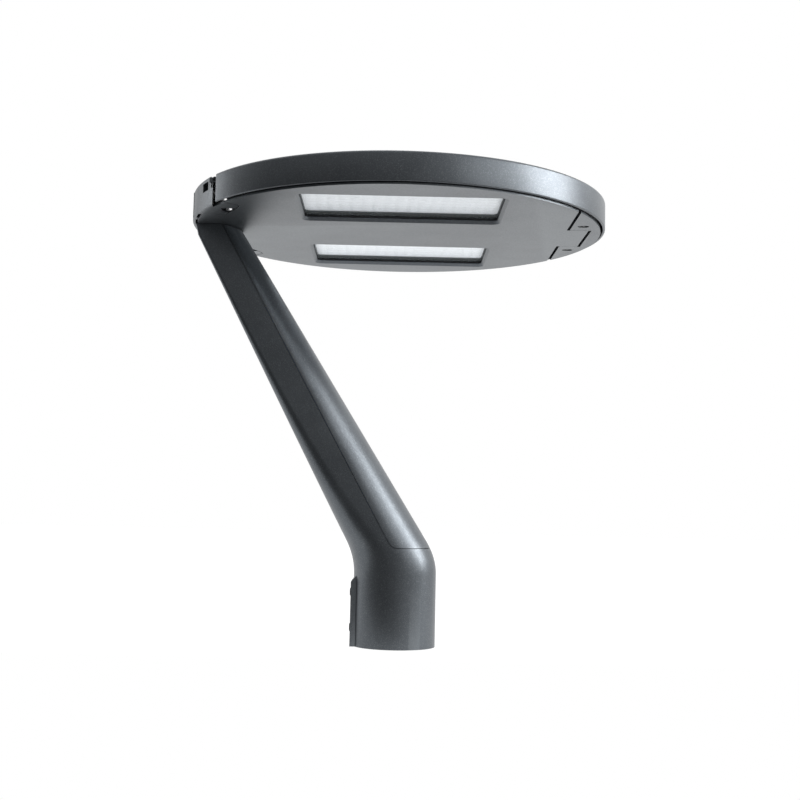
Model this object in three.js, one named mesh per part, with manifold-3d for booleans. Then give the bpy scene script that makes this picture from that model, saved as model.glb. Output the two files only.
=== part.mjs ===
// Post-top solar street lamp: a thin round head on one leaning arm, with a collar that drops over a pole.
// Millimetres, +Z up. The origin is on the pole's axis, at the collar's bottom face.
import * as THREE from 'three';
import { mergeVertices } from 'three/addons/utils/BufferGeometryUtils.js';
import Module from 'manifold-3d';

const wasm = await Module();
wasm.setup();

// ---- driving dimensions ----
const gap = 0.3; // clearance between pieces that touch

const headR = 250; // outside of the rim
const headSides = 72;
const headX = -4; // head's centre, from the pole's axis
const plateZ = 498.5; // underside of the head
const plateR = 244.5; // underside plate
const plateT = 2.2;
const rimInR = 247;
const rimLow = 2.5; // heights in the head are measured from the plate's underside
const rimTop = 34.7;
const deckLow = 28.1;
const deckTop = 31.1;
const panelR = 234.5;

const tubR = 240; // sealed inner tub of the base
const tubWall = 2.5;
const tubTop = 23;
const tubRearX = -172;
const tubFrontX = 196;

const hingeX = -208.5; // hinge axis, along Y
const hingeZ = 29.5;
const coverRearX = -206.2; // the cover ends here, ahead of the hinge axis
const blockFrontX = -210.5; // the fixed rear pieces end here, behind it
const capHalf = 88; // the rear cap's half width
const blockHalf = 137.5; // the hinge blocks reach this far out

const windowX = 2; // centre of both light windows
const windowY = 130.5;
const windowL = 232; // outside of the window's bevel
const windowW = 127;
const windowRound = 10;
const bevel = 3.4;

const latchX = 200; // the latch plate's inner edge
const latchHalf = 146;
const tongueX = 226; // the base plate's tongue reaches this far
const tongueHalf = 46;
const latchGap = 3.6; // room that the latch slides into
const latchScrewY = 67.5;
const latchScrewX = 216.5;

const collarR = 49.3;
const bendZ = 105.4; // height where the arm leaves the collar
const bendSoft = 20; // half height of the bend's round
const rearSlope = 0.514;
const frontSlope = 0.6247;
const seamSlope = 0.553; // the arm cover's joint line
const armWall = 4;
const armTop = plateZ - gap;
const coverLowZ = 116.7; // the arm cover's lower edge
const coverGap = 0.7;
const socketR = 39.4; // a 76 mm pole end with room for paint
const socketDeep = 86;
const batteryTilt = -Math.atan((rearSlope + frontSlope) / 2);

// ---- materials ----
function finish(color, roughness, metalness) {
  return () => new THREE.MeshStandardMaterial({ color, roughness, metalness });
}
const coat = finish(0x3a3e42, 0.45, 0.4);
const blackPart = finish(0x101214, 0.6, 0);
const rubber = finish(0x16181a, 0.85, 0);
const bareMetal = finish(0xa4a8ab, 0.4, 0.9);
const steel = finish(0xb8babc, 0.3, 1);
const clearGlass = finish(0xd8e4e6, 0.05, 0);
const cells = finish(0x0b1626, 0.2, 0.1);
const whiteBoard = finish(0xe8eaec, 0.6, 0);
const lensPlastic = finish(0xf2f4f6, 0.15, 0);
const wrap = finish(0x1f5aa0, 0.5, 0);
const boardGreen = finish(0x1e5a36, 0.5, 0);
const cableSkin = finish(0x141414, 0.7, 0);

// ---- solids ----
function solid(geometry) {
  const bare = geometry.clone();
  bare.deleteAttribute('normal');
  bare.deleteAttribute('uv');
  const merged = mergeVertices(bare, 1e-4);
  const triVerts = new Uint32Array(merged.index.array);
  const vertProperties = merged.attributes.position.array;
  return new wasm.Manifold(new wasm.Mesh({ numProp: 3, vertProperties, triVerts }));
}

function geometryOf(body) {
  const mesh = body.getMesh();
  const geometry = new THREE.BufferGeometry();
  geometry.setAttribute('position', new THREE.BufferAttribute(new Float32Array(mesh.vertProperties), 3));
  geometry.setIndex(new THREE.BufferAttribute(new Uint32Array(mesh.triVerts), 1));
  geometry.computeVertexNormals();
  return geometry;
}

function joined(list) {
  return list.reduce((sum, one) => sum.add(one));
}

function add(parent, name, body, material) {
  const mesh = new THREE.Mesh(geometryOf(body), material());
  mesh.name = name;
  parent.add(mesh);
  return mesh;
}

function box(x0, x1, y0, y1, z0, z1) {
  const shape = new THREE.BoxGeometry(x1 - x0, y1 - y0, z1 - z0);
  return solid(shape.translate((x0 + x1) / 2, (y0 + y1) / 2, (z0 + z1) / 2));
}

function post(x, y, z0, z1, r, sides = 24) {
  const shape = new THREE.CylinderGeometry(r, r, z1 - z0, sides);
  return solid(shape.rotateX(Math.PI / 2).translate(x, y, (z0 + z1) / 2));
}

// Round rods along X and along Y.
function rodX(x0, x1, y, z, r, sides = 24) {
  const shape = new THREE.CylinderGeometry(r, r, x1 - x0, sides);
  return solid(shape.rotateZ(-Math.PI / 2).translate((x0 + x1) / 2, y, z));
}

function rodY(x, y0, y1, z, r, sides = 20) {
  const shape = new THREE.CylinderGeometry(r, r, y1 - y0, sides);
  return solid(shape.translate(x, (y0 + y1) / 2, z));
}

// A plan outline raised between two heights.
function prism(shape, z0, z1, curveSegments = 6) {
  const made = new THREE.ExtrudeGeometry(shape, { depth: z1 - z0, bevelEnabled: false, curveSegments });
  return solid(made.translate(0, 0, z0));
}

// An outline in X and Z, carried along Y.
function sidePrism(shape, y0, y1, curveSegments = 6) {
  const made = new THREE.ExtrudeGeometry(shape, { depth: y1 - y0, bevelEnabled: false, curveSegments });
  return solid(made.rotateX(Math.PI / 2).translate(0, y1, 0));
}

function polygon(points) {
  return new THREE.Shape(points.map(([a, b]) => new THREE.Vector2(a, b)));
}

function roundedRect(x, y, length, width, r) {
  const shape = new THREE.Shape();
  const hx = length / 2;
  const hy = width / 2;
  shape.moveTo(x - hx + r, y - hy);
  shape.absarc(x + hx - r, y - hy + r, r, -Math.PI / 2, 0, false);
  shape.absarc(x + hx - r, y + hy - r, r, 0, Math.PI / 2, false);
  shape.absarc(x - hx + r, y + hy - r, r, Math.PI / 2, Math.PI, false);
  shape.absarc(x - hx + r, y - hy + r, r, Math.PI, Math.PI * 1.5, false);
  return shape;
}

function roundedBox(x, y, length, width, r, z0, z1) {
  return prism(roundedRect(x, y, length, width, r), z0, z1, 3);
}

// A profile of [radius, height] points turned round the head's axis.
function turned(points, sides) {
  const made = new THREE.LatheGeometry(points.map(([r, z]) => new THREE.Vector2(r, z)), sides);
  return solid(made.rotateX(Math.PI / 2));
}

function disc(r, z0, z1, sides = headSides) {
  return post(0, 0, z0, z1, r, sides);
}

// A cable along a smooth curve.
function cable(points, r) {
  const path = new THREE.CatmullRomCurve3(points.map((p) => new THREE.Vector3(...p)));
  const section = new THREE.Shape();
  section.absarc(0, 0, r, 0, Math.PI * 2, false);
  const steps = Math.round(path.getLength() / (r * 4));
  const options = { steps, extrudePath: path, curveSegments: 4, bevelEnabled: false };
  return solid(new THREE.ExtrudeGeometry(section, options));
}

// ---- the arm's own shape ----
// How far the arm has run out from the bend at a height: zero in the collar, then one for one.
function runOut(z) {
  const over = z - bendZ;
  if (over < -bendSoft) return 0;
  if (over > bendSoft) return over;
  return (over + bendSoft) ** 2 / (4 * bendSoft);
}

// One level section of the arm: round rear corners, flat sides, then a curve to the ridge and a
// crowned front. In the collar it is a circle.
function armSection(z, wall) {
  const run = runOut(z);
  const rear = Math.max(-collarR - rearSlope * run, -plateR + headX + 1) + wall;
  const front = collarR - frontSlope * run - wall;
  const half = collarR - 0.026 * run - wall;
  const corner = Math.max((collarR - 0.3) * Math.exp(-run / 140) - wall, 1);
  const seam = Math.max(0.5 - seamSlope * run, rear + corner + 0.5);
  const ridgeY = (38 - 0.0204 * run) * (half / (half + wall));
  const ridgeX = front - (17.9 - 0.02 * run) * (half / (half + wall));
  const side = [];
  for (let i = 0; i <= 7; i++) {
    const turn = (Math.PI / 14) * i;
    side.push([rear + corner - corner * Math.cos(turn), half - corner + corner * Math.sin(turn)]);
  }
  const reach = ridgeX - seam;
  for (let i = 0; i <= 4; i++) {
    const t = i / 4;
    const x = seam + reach * (2 * t * (1 - t) * 0.5 + t * t);
    side.push([x, half + (ridgeY - half) * t * t]);
  }
  const crownR = (ridgeY ** 2 + (front - ridgeX) ** 2) / (2 * (front - ridgeX));
  const crownTurn = Math.asin(ridgeY / crownR);
  for (let i = 1; i < 4; i++) {
    const turn = crownTurn * (1 - i / 4);
    side.push([front - crownR + crownR * Math.cos(turn), crownR * Math.sin(turn)]);
  }
  const far = side.map(([x, y]) => new THREE.Vector3(x, y, z));
  const near = side.map(([x, y]) => new THREE.Vector3(x, -y, z)).reverse();
  return [new THREE.Vector3(rear, 0, z), ...far, new THREE.Vector3(front, 0, z), ...near];
}

// Skins a stack of level sections, lowest first, and closes both ends.
function loft(sections) {
  const count = sections[0].length;
  const points = sections.flat();
  const index = [];
  for (let s = 0; s + 1 < sections.length; s++) {
    for (let i = 0; i < count; i++) {
      const a = s * count + i;
      const b = s * count + ((i + 1) % count);
      index.push(a, a + count, b, b, a + count, b + count);
    }
  }
  [0, sections.length - 1].forEach((s) => {
    const middle = sections[s].reduce((sum, p) => sum.add(p), new THREE.Vector3());
    points.push(middle.divideScalar(count));
    const hub = points.length - 1;
    for (let i = 0; i < count; i++) {
      const a = s * count + i;
      const b = s * count + ((i + 1) % count);
      index.push(...(s === 0 ? [hub, a, b] : [hub, b, a]));
    }
  });
  const geometry = new THREE.BufferGeometry().setFromPoints(points);
  geometry.setIndex(index);
  return solid(geometry);
}

const bendLevels = [0, 1, 2, 3, 4].map((i) => bendZ + bendSoft * (i / 2 - 1));
const upperLevels = [175, 245, 350, 484];

function armBody(low, high, wall) {
  const levels = [...bendLevels, ...upperLevels].filter((z) => z > low + 1 && z < high - 1);
  return loft([low, ...levels, high].map((z) => armSection(z, wall)));
}

// The part of the arm that belongs to its front cover, drawn in smaller by an inset.
function coverZone(inset) {
  const seamAt = (z) => 1 - seamSlope * (z - bendZ) + inset;
  const low = coverLowZ + inset;
  const zone = new THREE.Shape();
  zone.moveTo(seamAt(armTop + 20), armTop + 20);
  zone.lineTo(seamAt(low + 8), low + 8);
  zone.quadraticCurveTo(seamAt(low), low, seamAt(low) + 8, low);
  zone.lineTo(collarR * 2, low);
  zone.lineTo(collarR * 2, armTop + 20);
  return sidePrism(zone, -collarR * 2, collarR * 2);
}

const armHollow = armBody(93, armTop - 8, armWall);
const armSkin = armBody(0, armTop, 0).subtract(armHollow);
const flangeScrews = [[-240, -26], [-240, 26], [-222, -26], [-222, 26]];
const cableHoleX = -231;
const setScrewZ = [21, 63];

function poleSocket() {
  const ribs = [1, 2, 3, 5, 6, 7].map((i) => {
    const rib = box(socketR, collarR - 3, -2, 2, 0, socketDeep + 4);
    return rib.rotate([0, 0, 180 + i * 45]);
  });
  const pad = box(-collarR + 2, -socketR, -14, 14, 0, socketDeep + 4);
  const skin = post(0, 0, -1, socketDeep + 2, collarR - 5, 32);
  return skin.subtract(joined([...ribs, pad]));
}

function clampPad() {
  const outline = polygon([[-40, 0], [-52.3, 0], [-52.3, 77], [-45.5, 84], [-40, 84]]);
  return sidePrism(outline, -18, 18);
}

function armCasting() {
  const holes = flangeScrews.map(([x, y]) => post(x + headX, y, armTop - 9, armTop + 1, 3.3, 16));
  const cableWay = post(cableHoleX + headX, 0, armTop - 9, armTop + 1, 7);
  const drain = post(0, 0, 80, 100, 11);
  const screwWays = setScrewZ.map((z) => rodX(-60, -30, 0, z, 5.1));
  const body = armSkin.add(clampPad()).subtract(coverZone(0)).subtract(poleSocket());
  return body.subtract(joined([...holes, cableWay, drain, ...screwWays]));
}

function armCover() {
  const skin = armBody(coverLowZ - 10, armTop - 0.4, 0).subtract(armHollow);
  return skin.intersect(coverZone(coverGap));
}

function setScrew(z) {
  const screw = rodX(-53.6, -38.8, 0, z, 4.7);
  return screw.subtract(rodX(-54, -49.5, 0, z, 2.6, 6));
}

// ---- battery in the arm, in a frame that leans with it ----
const battery = { r: 16.3, length: 280, spread: 17, back: -5 };

function batteryTray() {
  const base = box(-20.6, -18.2, -34, 34, -148, 148);
  const ends = [-148, 145].map((z) => box(-20.6, 4, -34, 34, z, z + 3));
  const ways = [-60, 60].map((z) => box(-22, -17, -10, 10, z - 12, z + 12));
  const leadWay = box(-10, 8, -9, 9, 140, 150);
  return joined([base, ...ends]).subtract(joined([...ways, leadWay]));
}

function batteryStick(y) {
  return post(0, y, -battery.length / 2, battery.length / 2, battery.r, 20);
}

function batteryStrap(z) {
  const outside = roundedRect(0, 0, battery.r * 2 + 3, battery.spread * 2 + battery.r * 2 + 3, 17.6);
  const inside = roundedRect(0, 0, battery.r * 2 + 0.8, battery.spread * 2 + battery.r * 2 + 0.8, 16.5);
  return prism(outside, z - 7, z + 7, 4).subtract(prism(inside, z - 8, z + 8, 4));
}

function protectionBoard() {
  return box(17.9, 19.5, -14, 14, 30, 90);
}

// ---- head: fixed base ----
// Round tub, flat at the rear and the front, with its rear corners cut off. Drawn in by an inset.
function tubOutline(inset, low, high) {
  const rear = tubRearX + inset;
  const front = tubFrontX - inset;
  const cornerCut = 22;
  const keep = polygon([[rear, -150], [rear + cornerCut, -190], [0, -300], [front, -300],
    [front, 300], [0, 300], [rear + cornerCut, 190], [rear, 150]]);
  return disc(tubR - inset, low, high).intersect(prism(keep, low - 1, high + 1));
}

function windowSolid(side, grow, r, z0, z1) {
  return roundedBox(windowX, side * windowY, windowL + grow * 2, windowW + grow * 2, r, z0, z1);
}

// Opening with the 45 degree bevel round its lower edge.
function windowOpening(side) {
  const steps = [[0, windowRound], [-bevel, windowRound - bevel]];
  const rings = steps.map(([grow, r], i) => {
    const outline = roundedRect(windowX, side * windowY, windowL + grow * 2, windowW + grow * 2, r);
    const points = outline.extractPoints(3).shape;
    return points.map((p) => new THREE.Vector3(p.x, p.y, i * bevel));
  });
  const deeper = rings[1].map((p) => p.clone().setZ(bevel + 2));
  const wider = rings[0].map((p) => p.clone().setZ(-1));
  return loft([wider, rings[0], rings[1], deeper].map((ring) => ring.slice().reverse()));
}

// Plan of a hinge block's foot, seen on the underside: straight by the cap, slanted ahead.
function footOutline(side, inset) {
  const points = [[-260, capHalf + 0.5 + inset], [-200 - inset, capHalf + 0.5 + inset],
    [-197 - inset, 96], [-187 - inset, 114], [-181 - inset, 129], [-181 - inset, 136 - inset],
    [-196.5 - inset, 151 - inset], [-260, 151 - inset]];
  return polygon(points.map(([x, y]) => [x, y * side]));
}

function latchZone(inset) {
  const back = latchX + inset;
  const step = tongueX + inset;
  const narrow = tongueHalf + (inset > 0 ? 0.5 : 0);
  const wide = latchHalf;
  const points = [[back, -wide], [back, -narrow], [step, -narrow], [step, narrow], [back, narrow],
    [back, wide], [300, wide], [300, -wide]];
  return polygon(points);
}

function baseCasting() {
  const plate = disc(plateR, 0, plateT);
  const wall = tubOutline(0, plateT - 1, tubTop);
  const room = tubOutline(tubWall, plateT, tubTop + 1);
  const rims = [-1, 1].map((side) => windowSolid(side, 8, 18, plateT - 1, bevel + 0.5));
  const root = box(-243, -187, -40, 40, 1, 10);
  const posts = boxScrews.map(([x, y]) => post(x, y, 1, 9, 4, 12));
  let base = plate.add(wall.subtract(room));
  base = joined([base, ...rims, root.intersect(disc(plateR, 0, 20)), ...posts]);
  const latchCut = prism(latchZone(0), -1, 4);
  const feet = [-1, 1].map((side) => prism(footOutline(side, 0), -1, plateT + 0.1));
  const openings = [-1, 1].map(windowOpening);
  const screwWays = flangeScrews.map(([x, y]) => post(x, y, -1, 12, 3.3, 16));
  const cableWay = post(cableHoleX, 0, -1, 12, 7);
  const glandWay = rodX(tubRearX - 2, tubRearX + 5, 0, glandZ, 6.3);
  const ventWay = rodX(tubRearX - 2, tubRearX + 5, 60, glandZ, 4.3);
  const pinWays = boxScrews.map(([x, y]) => post(x, y, 4, 10, 1.6, 10));
  const cuts = [latchCut, ...feet, ...openings, ...screwWays, cableWay, glandWay, ventWay, ...pinWays];
  return cuts.reduce((left, cut) => left.subtract(cut), base);
}

function tubGasket() {
  const outside = tubOutline(0, tubTop + gap, deckLow - gap);
  return outside.subtract(tubOutline(tubWall + 1, tubTop, deckLow));
}

function flangeScrew([x, y]) {
  const shank = post(x, y, -7, 11, 2.95, 12);
  const head = post(x, y, 10 + gap, 16, 5, 16);
  return shank.add(head).subtract(post(x, y, 13, 17, 2.5, 6));
}

// ---- head: rear cap and hinge blocks, which stay with the arm ----
function rimZone(y0, y1) {
  return box(-260, blockFrontX, y0, y1, 0, rimTop);
}

function softRimEdge(r, low, high, sides) {
  return turned([[0, low], [r - 1, low], [r, low + 1.1], [r, high - 3], [r - 1, high - 0.9],
    [r - 3, high], [0, high]], sides);
}

function rearCap() {
  const shell = softRimEdge(headR, rimLow, rimTop, headSides).subtract(disc(rimInR, 0, rimTop - 3));
  const feet = [-52, 52].map((y) => box(-244, -236, y - 5, y + 5, rimLow, rimTop - 2));
  const front = box(blockFrontX - 2.5, blockFrontX, -capHalf, capHalf, 22, rimTop);
  const all = joined([shell, ...feet, front]).intersect(softRimEdge(headR, rimLow, rimTop, headSides));
  return all.intersect(rimZone(-capHalf, capHalf)).subtract(rearGroove());
}

// The fixed pieces' top front edge slopes back, so the cover's rear edge clears it as it rises.
function rearGroove() {
  const outline = polygon([[blockFrontX - 3.5, rimTop + 1], [blockFrontX - 3.5, rimTop],
    [blockFrontX + 1, rimTop - 6], [blockFrontX + 1, rimTop + 1]]);
  return sidePrism(outline, -150, 150);
}

const lugs = [[92, 104], [120.5, 133.5]]; // fixed knuckles
const leafLug = [104.8, 119.7]; // the cover's knuckle between them
const knuckleR = 3.2;
const pinR = 1.6;

function span(side, y0, y1) {
  return side > 0 ? [y0, y1] : [-y1, -y0];
}

function knuckle(side, y0, y1) {
  const [low, high] = span(side, y0, y1);
  return rodY(hingeX, low, high, hingeZ, knuckleR);
}

function hingeBlock(side) {
  const [low, high] = span(side, capHalf + 0.5, blockHalf);
  const outside = softRimEdge(headR, 0, rimTop, headSides);
  const upright = box(-260, blockFrontX, low, high, 0, rimTop);
  const foot = prism(footOutline(side, 0.4), 0, plateT).intersect(disc(plateR, -1, 4));
  const inner = disc(headR - 6, 0, 20);
  const hollow = box(-240, blockFrontX + 1, low + 4, high - 4, plateT, 16).intersect(inner);
  let block = outside.intersect(upright).subtract(hollow).add(foot);
  const [cutLow, cutHigh] = span(side, lugs[0][0] - 1, lugs[1][1] + 0.7);
  block = block.subtract(box(blockFrontX - 2.4, blockFrontX + 1, cutLow, cutHigh, 20, 40));
  block = block.subtract(rearGroove());
  lugs.forEach(([y0, y1]) => {
    const [a, b] = span(side, y0, y1);
    const arm = box(blockFrontX - 4, hingeX, a, b, hingeZ - 3.2, hingeZ + 2.2);
    block = block.add(arm).add(knuckle(side, y0, y1));
  });
  const pinWay = rodY(hingeX, ...span(side, 88, 140), hingeZ, pinR + gap);
  return block.subtract(pinWay).subtract(sidePocket(side)).subtract(toolSlot(side));
}

// Square pocket in the hinge block's outer face.
function sidePocket(side) {
  const pocket = box(headR - 13, headR + 5, -8.8, 8.8, 19.5, 29.5);
  return pocket.rotate([0, 0, 180 - side * 27.7]);
}

// Slot in the foot, square on the outside and round towards the arm.
function toolSlot(side) {
  const shape = new THREE.Shape();
  shape.moveTo(-203, 119);
  shape.lineTo(-203, 107);
  shape.absarc(-194, 107, 9, Math.PI, Math.PI * 2, false);
  shape.lineTo(-185, 119);
  const slot = prism(shape, -1, 3, 10);
  return side > 0 ? slot : slot.mirror([0, 1, 0]);
}

function hingeLeaf(side) {
  const [low, high] = span(side, leafLug[0], leafLug[1]);
  const [plateLow, plateHigh] = span(side, 96, 129);
  const plate = box(-200, -178, plateLow, plateHigh, deckLow - 3.3, deckLow - gap);
  const arm = box(hingeX, -199, low, high, deckLow - 3.3, deckLow - gap);
  const leaf = joined([plate, arm, knuckle(side, leafLug[0], leafLug[1])]);
  return leaf.subtract(rodY(hingeX, ...span(side, 88, 140), hingeZ, pinR + gap));
}

function hingePin(side) {
  return rodY(hingeX, ...span(side, 92.5, 134), hingeZ, pinR, 16);
}

// ---- head: opening cover with the solar panel ----
function panelOutline(r, rearX, z0, z1) {
  return disc(r, z0, z1).intersect(box(rearX, 300, -300, 300, z0 - 1, z1 + 1));
}

function topCover() {
  const outside = softRimEdge(headR, rimLow, rimTop, headSides);
  const under = turned([[0, 0], [rimInR, 0], [rimInR, deckLow - 3], [rimInR - 3, deckLow], [0, deckLow]], headSides);
  const well = panelOutline(panelR + 3, coverRearX + 9, deckTop, rimTop + 1);
  let cover = outside.subtract(under).subtract(well);
  cover = cover.subtract(box(-300, coverRearX, -200, 200, -1, rimTop + 1));
  const edge = polygon([[coverRearX - 1, rimTop + 1], [coverRearX + 1.2, rimTop + 1],
    [coverRearX + 1.2, rimTop], [coverRearX, rimTop - 1.2], [coverRearX - 1, rimTop - 1.2]]);
  cover = cover.subtract(sidePrism(edge, -150, 150));
  [-1, 1].forEach((side) => {
    const [low, high] = span(side, lugs[0][0] - 1, lugs[1][1] + 1);
    cover = cover.subtract(box(coverRearX - 1, coverRearX + 2.2, low, high, 20, 40));
  });
  return cover.subtract(post(leadHoleX, 0, deckLow - 1, deckTop + 1, 6));
}

function panelSeal() {
  const outside = panelOutline(panelR + 2.6, coverRearX + 9.4, deckTop + gap, rimTop - 0.3);
  return outside.subtract(panelOutline(panelR + gap, coverRearX + 11.6, deckTop, rimTop + 1));
}

function panelLaminate() {
  return panelOutline(panelR, coverRearX + 12, deckTop + gap, deckTop + 1.2);
}

function panelGlass() {
  return panelOutline(panelR, coverRearX + 12, deckTop + 1.5, rimTop - 0.2);
}

const leadHoleX = 60;

function junctionBox() {
  return roundedBox(leadHoleX, 0, 70, 52, 6, 14.5, deckLow - gap);
}

// ---- head: light units ----
function windowGasket(side) {
  const outside = windowSolid(side, 1, 12, bevel + 0.8, bevel + 3.3);
  return outside.subtract(windowSolid(side, -3, 7, bevel, bevel + 4));
}

function windowGlass(side) {
  return windowSolid(side, 2, 13, bevel + 3.6, bevel + 6.6);
}

function windowFrame(side) {
  const outside = windowSolid(side, 6, 17, bevel + 6.9, bevel + 10.8);
  return outside.subtract(windowSolid(side, -3, 7, bevel + 6, bevel + 12));
}

function lensArray(side) {
  return windowSolid(side, -3.6, 6.4, bevel + 8.1, bevel + 10.6);
}

function ledBoard(side) {
  return windowSolid(side, 0, 10, bevel + 11.1, bevel + 12.7);
}

function heatSink(side) {
  const base = windowSolid(side, 0, 10, bevel + 13, bevel + 16);
  const fins = [];
  for (let i = -4; i <= 4; i++) {
    const x = windowX + i * 24;
    const y = side * windowY;
    fins.push(box(x - 1, x + 1, y - windowW / 2 + 8, y + windowW / 2 - 8, bevel + 15, bevel + 21));
  }
  return joined([base, ...fins]);
}

// ---- head: electrics in the tub ----
const glandZ = 14;
const disconnectX = 115;
const boxScrews = [[-150, -46], [-150, 46], [-46, -46], [-46, 46], [140, 40], [180, -40]];

function controller() {
  const body = roundedBox(-98, 0, 96, 84, 5, 9 + gap, 24);
  const ears = boxScrews.slice(0, 4).map(([x, y]) => box(x - 6, x + 6, y - 6, y + 6, 9 + gap, 11.6));
  const bridge = box(-154, -42, -48, 48, 9 + gap, 11.6);
  const ways = boxScrews.slice(0, 4).map(([x, y]) => post(x, y, 9, 12, 2.1, 12));
  return joined([body, bridge, ...ears]).subtract(joined(ways));
}

function driver() {
  const body = roundedBox(160, 0, 54, 100, 5, 9 + gap, 25);
  const ways = boxScrews.slice(4).map(([x, y]) => post(x, y, 9, 26, 2.1, 12));
  const seats = boxScrews.slice(4).map(([x, y]) => post(x, y, 12, 26, 4.6, 16));
  return body.subtract(joined([...ways, ...seats]));
}

function boxScrew([x, y], z) {
  const shank = post(x, y, 4.6, z + 0.5, 1.25, 8);
  return shank.add(post(x, y, z + gap, z + 2.4, 3.3, 12));
}

function gland() {
  const nut = rodX(tubRearX - 6, tubRearX - gap, 0, glandZ, 8.4, 6);
  const dome = rodX(tubRearX - 13, tubRearX - 5, 0, glandZ, 6.6, 16);
  const thread = rodX(tubRearX - 5, tubRearX + 8, 0, glandZ, 6, 16);
  return joined([nut, dome, thread]).subtract(rodX(tubRearX - 20, tubRearX + 20, 0, glandZ, 3.9, 12));
}

function ventPlug() {
  const head = rodX(tubRearX - 4, tubRearX - gap, 60, glandZ, 6.5, 16);
  return head.add(rodX(tubRearX - 1, tubRearX + 6, 60, glandZ, 4, 16));
}

function socketHalf() {
  const body = roundedBox(disconnectX, 0, 22, 24, 2, plateT + gap, 16);
  return body.subtract(roundedBox(disconnectX, 0, 16, 16, 1.5, 8, 17));
}

function plugHalf() {
  const neck = roundedBox(disconnectX, 0, 14.6, 14.6, 1, 9, 20);
  const grip = roundedBox(disconnectX, 0, 20, 20, 3, 16.4, deckLow - gap);
  return neck.add(grip);
}

function armCable() {
  const rear = cableHoleX;
  return cable([[rear + 6, 0, -22], [rear + 1, 0, -12], [rear, 0, 2], [rear + 1, 0, 10], [rear + 8, 0, 16],
    [rear + 22, 0, 16.6], [tubRearX - 20, 0, 14.6], [tubRearX - 10, 0, glandZ], [tubRearX + 12, 0, glandZ]], 3);
}

// ---- head: latch ----
function latchPlate() {
  const plate = prism(latchZone(latchGap), 0, 3).intersect(disc(plateR, -1, 4));
  const holes = [-1, 1].map((side) => {
    const y = side * latchScrewY;
    const wide = roundedBox(latchScrewX, y, 13, 9.4, 4.6, -1, 1.6);
    return wide.add(roundedBox(latchScrewX, y, 9.6, 5.6, 2.7, 1, 4));
  });
  const hook = sidePrism(polygon([[237, 2], [239.4, 2], [239.4, 8.2], [242.6, 8.2], [241.2, 11], [237, 11]]), -16, 16);
  return plate.subtract(joined(holes)).add(hook);
}

function latchBracket() {
  const bridge = roundedBox(216, 0, 22, 170, 5, 3 + gap, 6);
  const foot = box(208, 223, -40, 40, plateT + gap, 4);
  return bridge.add(foot);
}

function guideScrew(side) {
  const x = latchScrewX - 1.9;
  const y = side * latchScrewY;
  const shank = post(x, y, 1, 3, 2.2, 12);
  return post(x, y, 0.3, 1.3, 4, 16).add(shank).subtract(post(x, y, 0, 0.8, 1.6, 6));
}

function latchKeeper() {
  const outline = polygon([[242.9, 5.4], [250, 5.4], [250, 16], [245, 16], [245, 7.8], [242.9, 7.8]]);
  return sidePrism(outline, -14, 14).intersect(disc(rimInR - 0.4, 0, 20));
}

// ---- assembly ----
const group = new THREE.Group();
const head = new THREE.Group();
head.position.set(headX, 0, plateZ);
group.add(head);
const cell = new THREE.Group();
const batteryZ = 275;
const batteryMid = -((rearSlope + frontSlope) / 2) * runOut(batteryZ);
cell.position.set(batteryMid + battery.back, 0, batteryZ);
cell.rotation.y = batteryTilt;
group.add(cell);

add(group, 'arm_casting', armCasting(), coat);
add(group, 'arm_cover', armCover(), coat);
setScrewZ.forEach((z, i) => add(group, ['pole_screw_lower', 'pole_screw_upper'][i], setScrew(z), steel));

add(cell, 'battery_tray', batteryTray(), blackPart);
add(cell, 'battery_stick_near', batteryStick(-battery.spread), wrap);
add(cell, 'battery_stick_far', batteryStick(battery.spread), wrap);
add(cell, 'battery_strap_lower', batteryStrap(-90), rubber);
add(cell, 'battery_strap_upper', batteryStrap(110), rubber);
add(cell, 'battery_board', protectionBoard(), boardGreen);

add(head, 'base_casting', baseCasting(), coat);
add(head, 'tub_gasket', tubGasket(), rubber);
flangeScrews.forEach((spot, i) => add(head, `arm_screw_${i + 1}`, flangeScrew(spot), steel));
add(head, 'rear_cap', rearCap(), coat);
[-1, 1].forEach((side) => {
  const where = side < 0 ? 'near' : 'far';
  add(head, `hinge_block_${where}`, hingeBlock(side), coat);
  add(head, `hinge_leaf_${where}`, hingeLeaf(side), bareMetal);
  add(head, `hinge_pin_${where}`, hingePin(side), steel);
  add(head, `window_gasket_${where}`, windowGasket(side), rubber);
  add(head, `window_glass_${where}`, windowGlass(side), clearGlass);
  add(head, `window_frame_${where}`, windowFrame(side), blackPart);
  add(head, `lens_array_${where}`, lensArray(side), lensPlastic);
  add(head, `led_board_${where}`, ledBoard(side), whiteBoard);
  add(head, `heat_sink_${where}`, heatSink(side), bareMetal);
  add(head, `latch_screw_${where}`, guideScrew(side), steel);
});
add(head, 'charge_controller', controller(), blackPart);
add(head, 'led_driver', driver(), bareMetal);
boxScrews.forEach((spot, i) => {
  const seat = i < 4 ? 11.6 : 12;
  add(head, `box_screw_${i + 1}`, boxScrew(spot, seat), steel);
});
add(head, 'cable_gland', gland(), blackPart);
add(head, 'vent_plug', ventPlug(), blackPart);
add(head, 'disconnect_socket', socketHalf(), blackPart);
add(head, 'disconnect_plug', plugHalf(), blackPart);
add(head, 'arm_cable', armCable(), cableSkin);
add(head, 'latch_plate', latchPlate(), coat);
add(head, 'latch_bracket', latchBracket(), bareMetal);
add(head, 'latch_keeper', latchKeeper(), steel);
add(head, 'top_cover', topCover(), coat);
add(head, 'panel_seal', panelSeal(), rubber);
add(head, 'panel_laminate', panelLaminate(), cells);
add(head, 'panel_glass', panelGlass(), clearGlass);
add(head, 'junction_box', junctionBox(), blackPart);

export default group;
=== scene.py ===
import math

import bpy
import bmesh
from mathutils import Matrix, Vector


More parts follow.
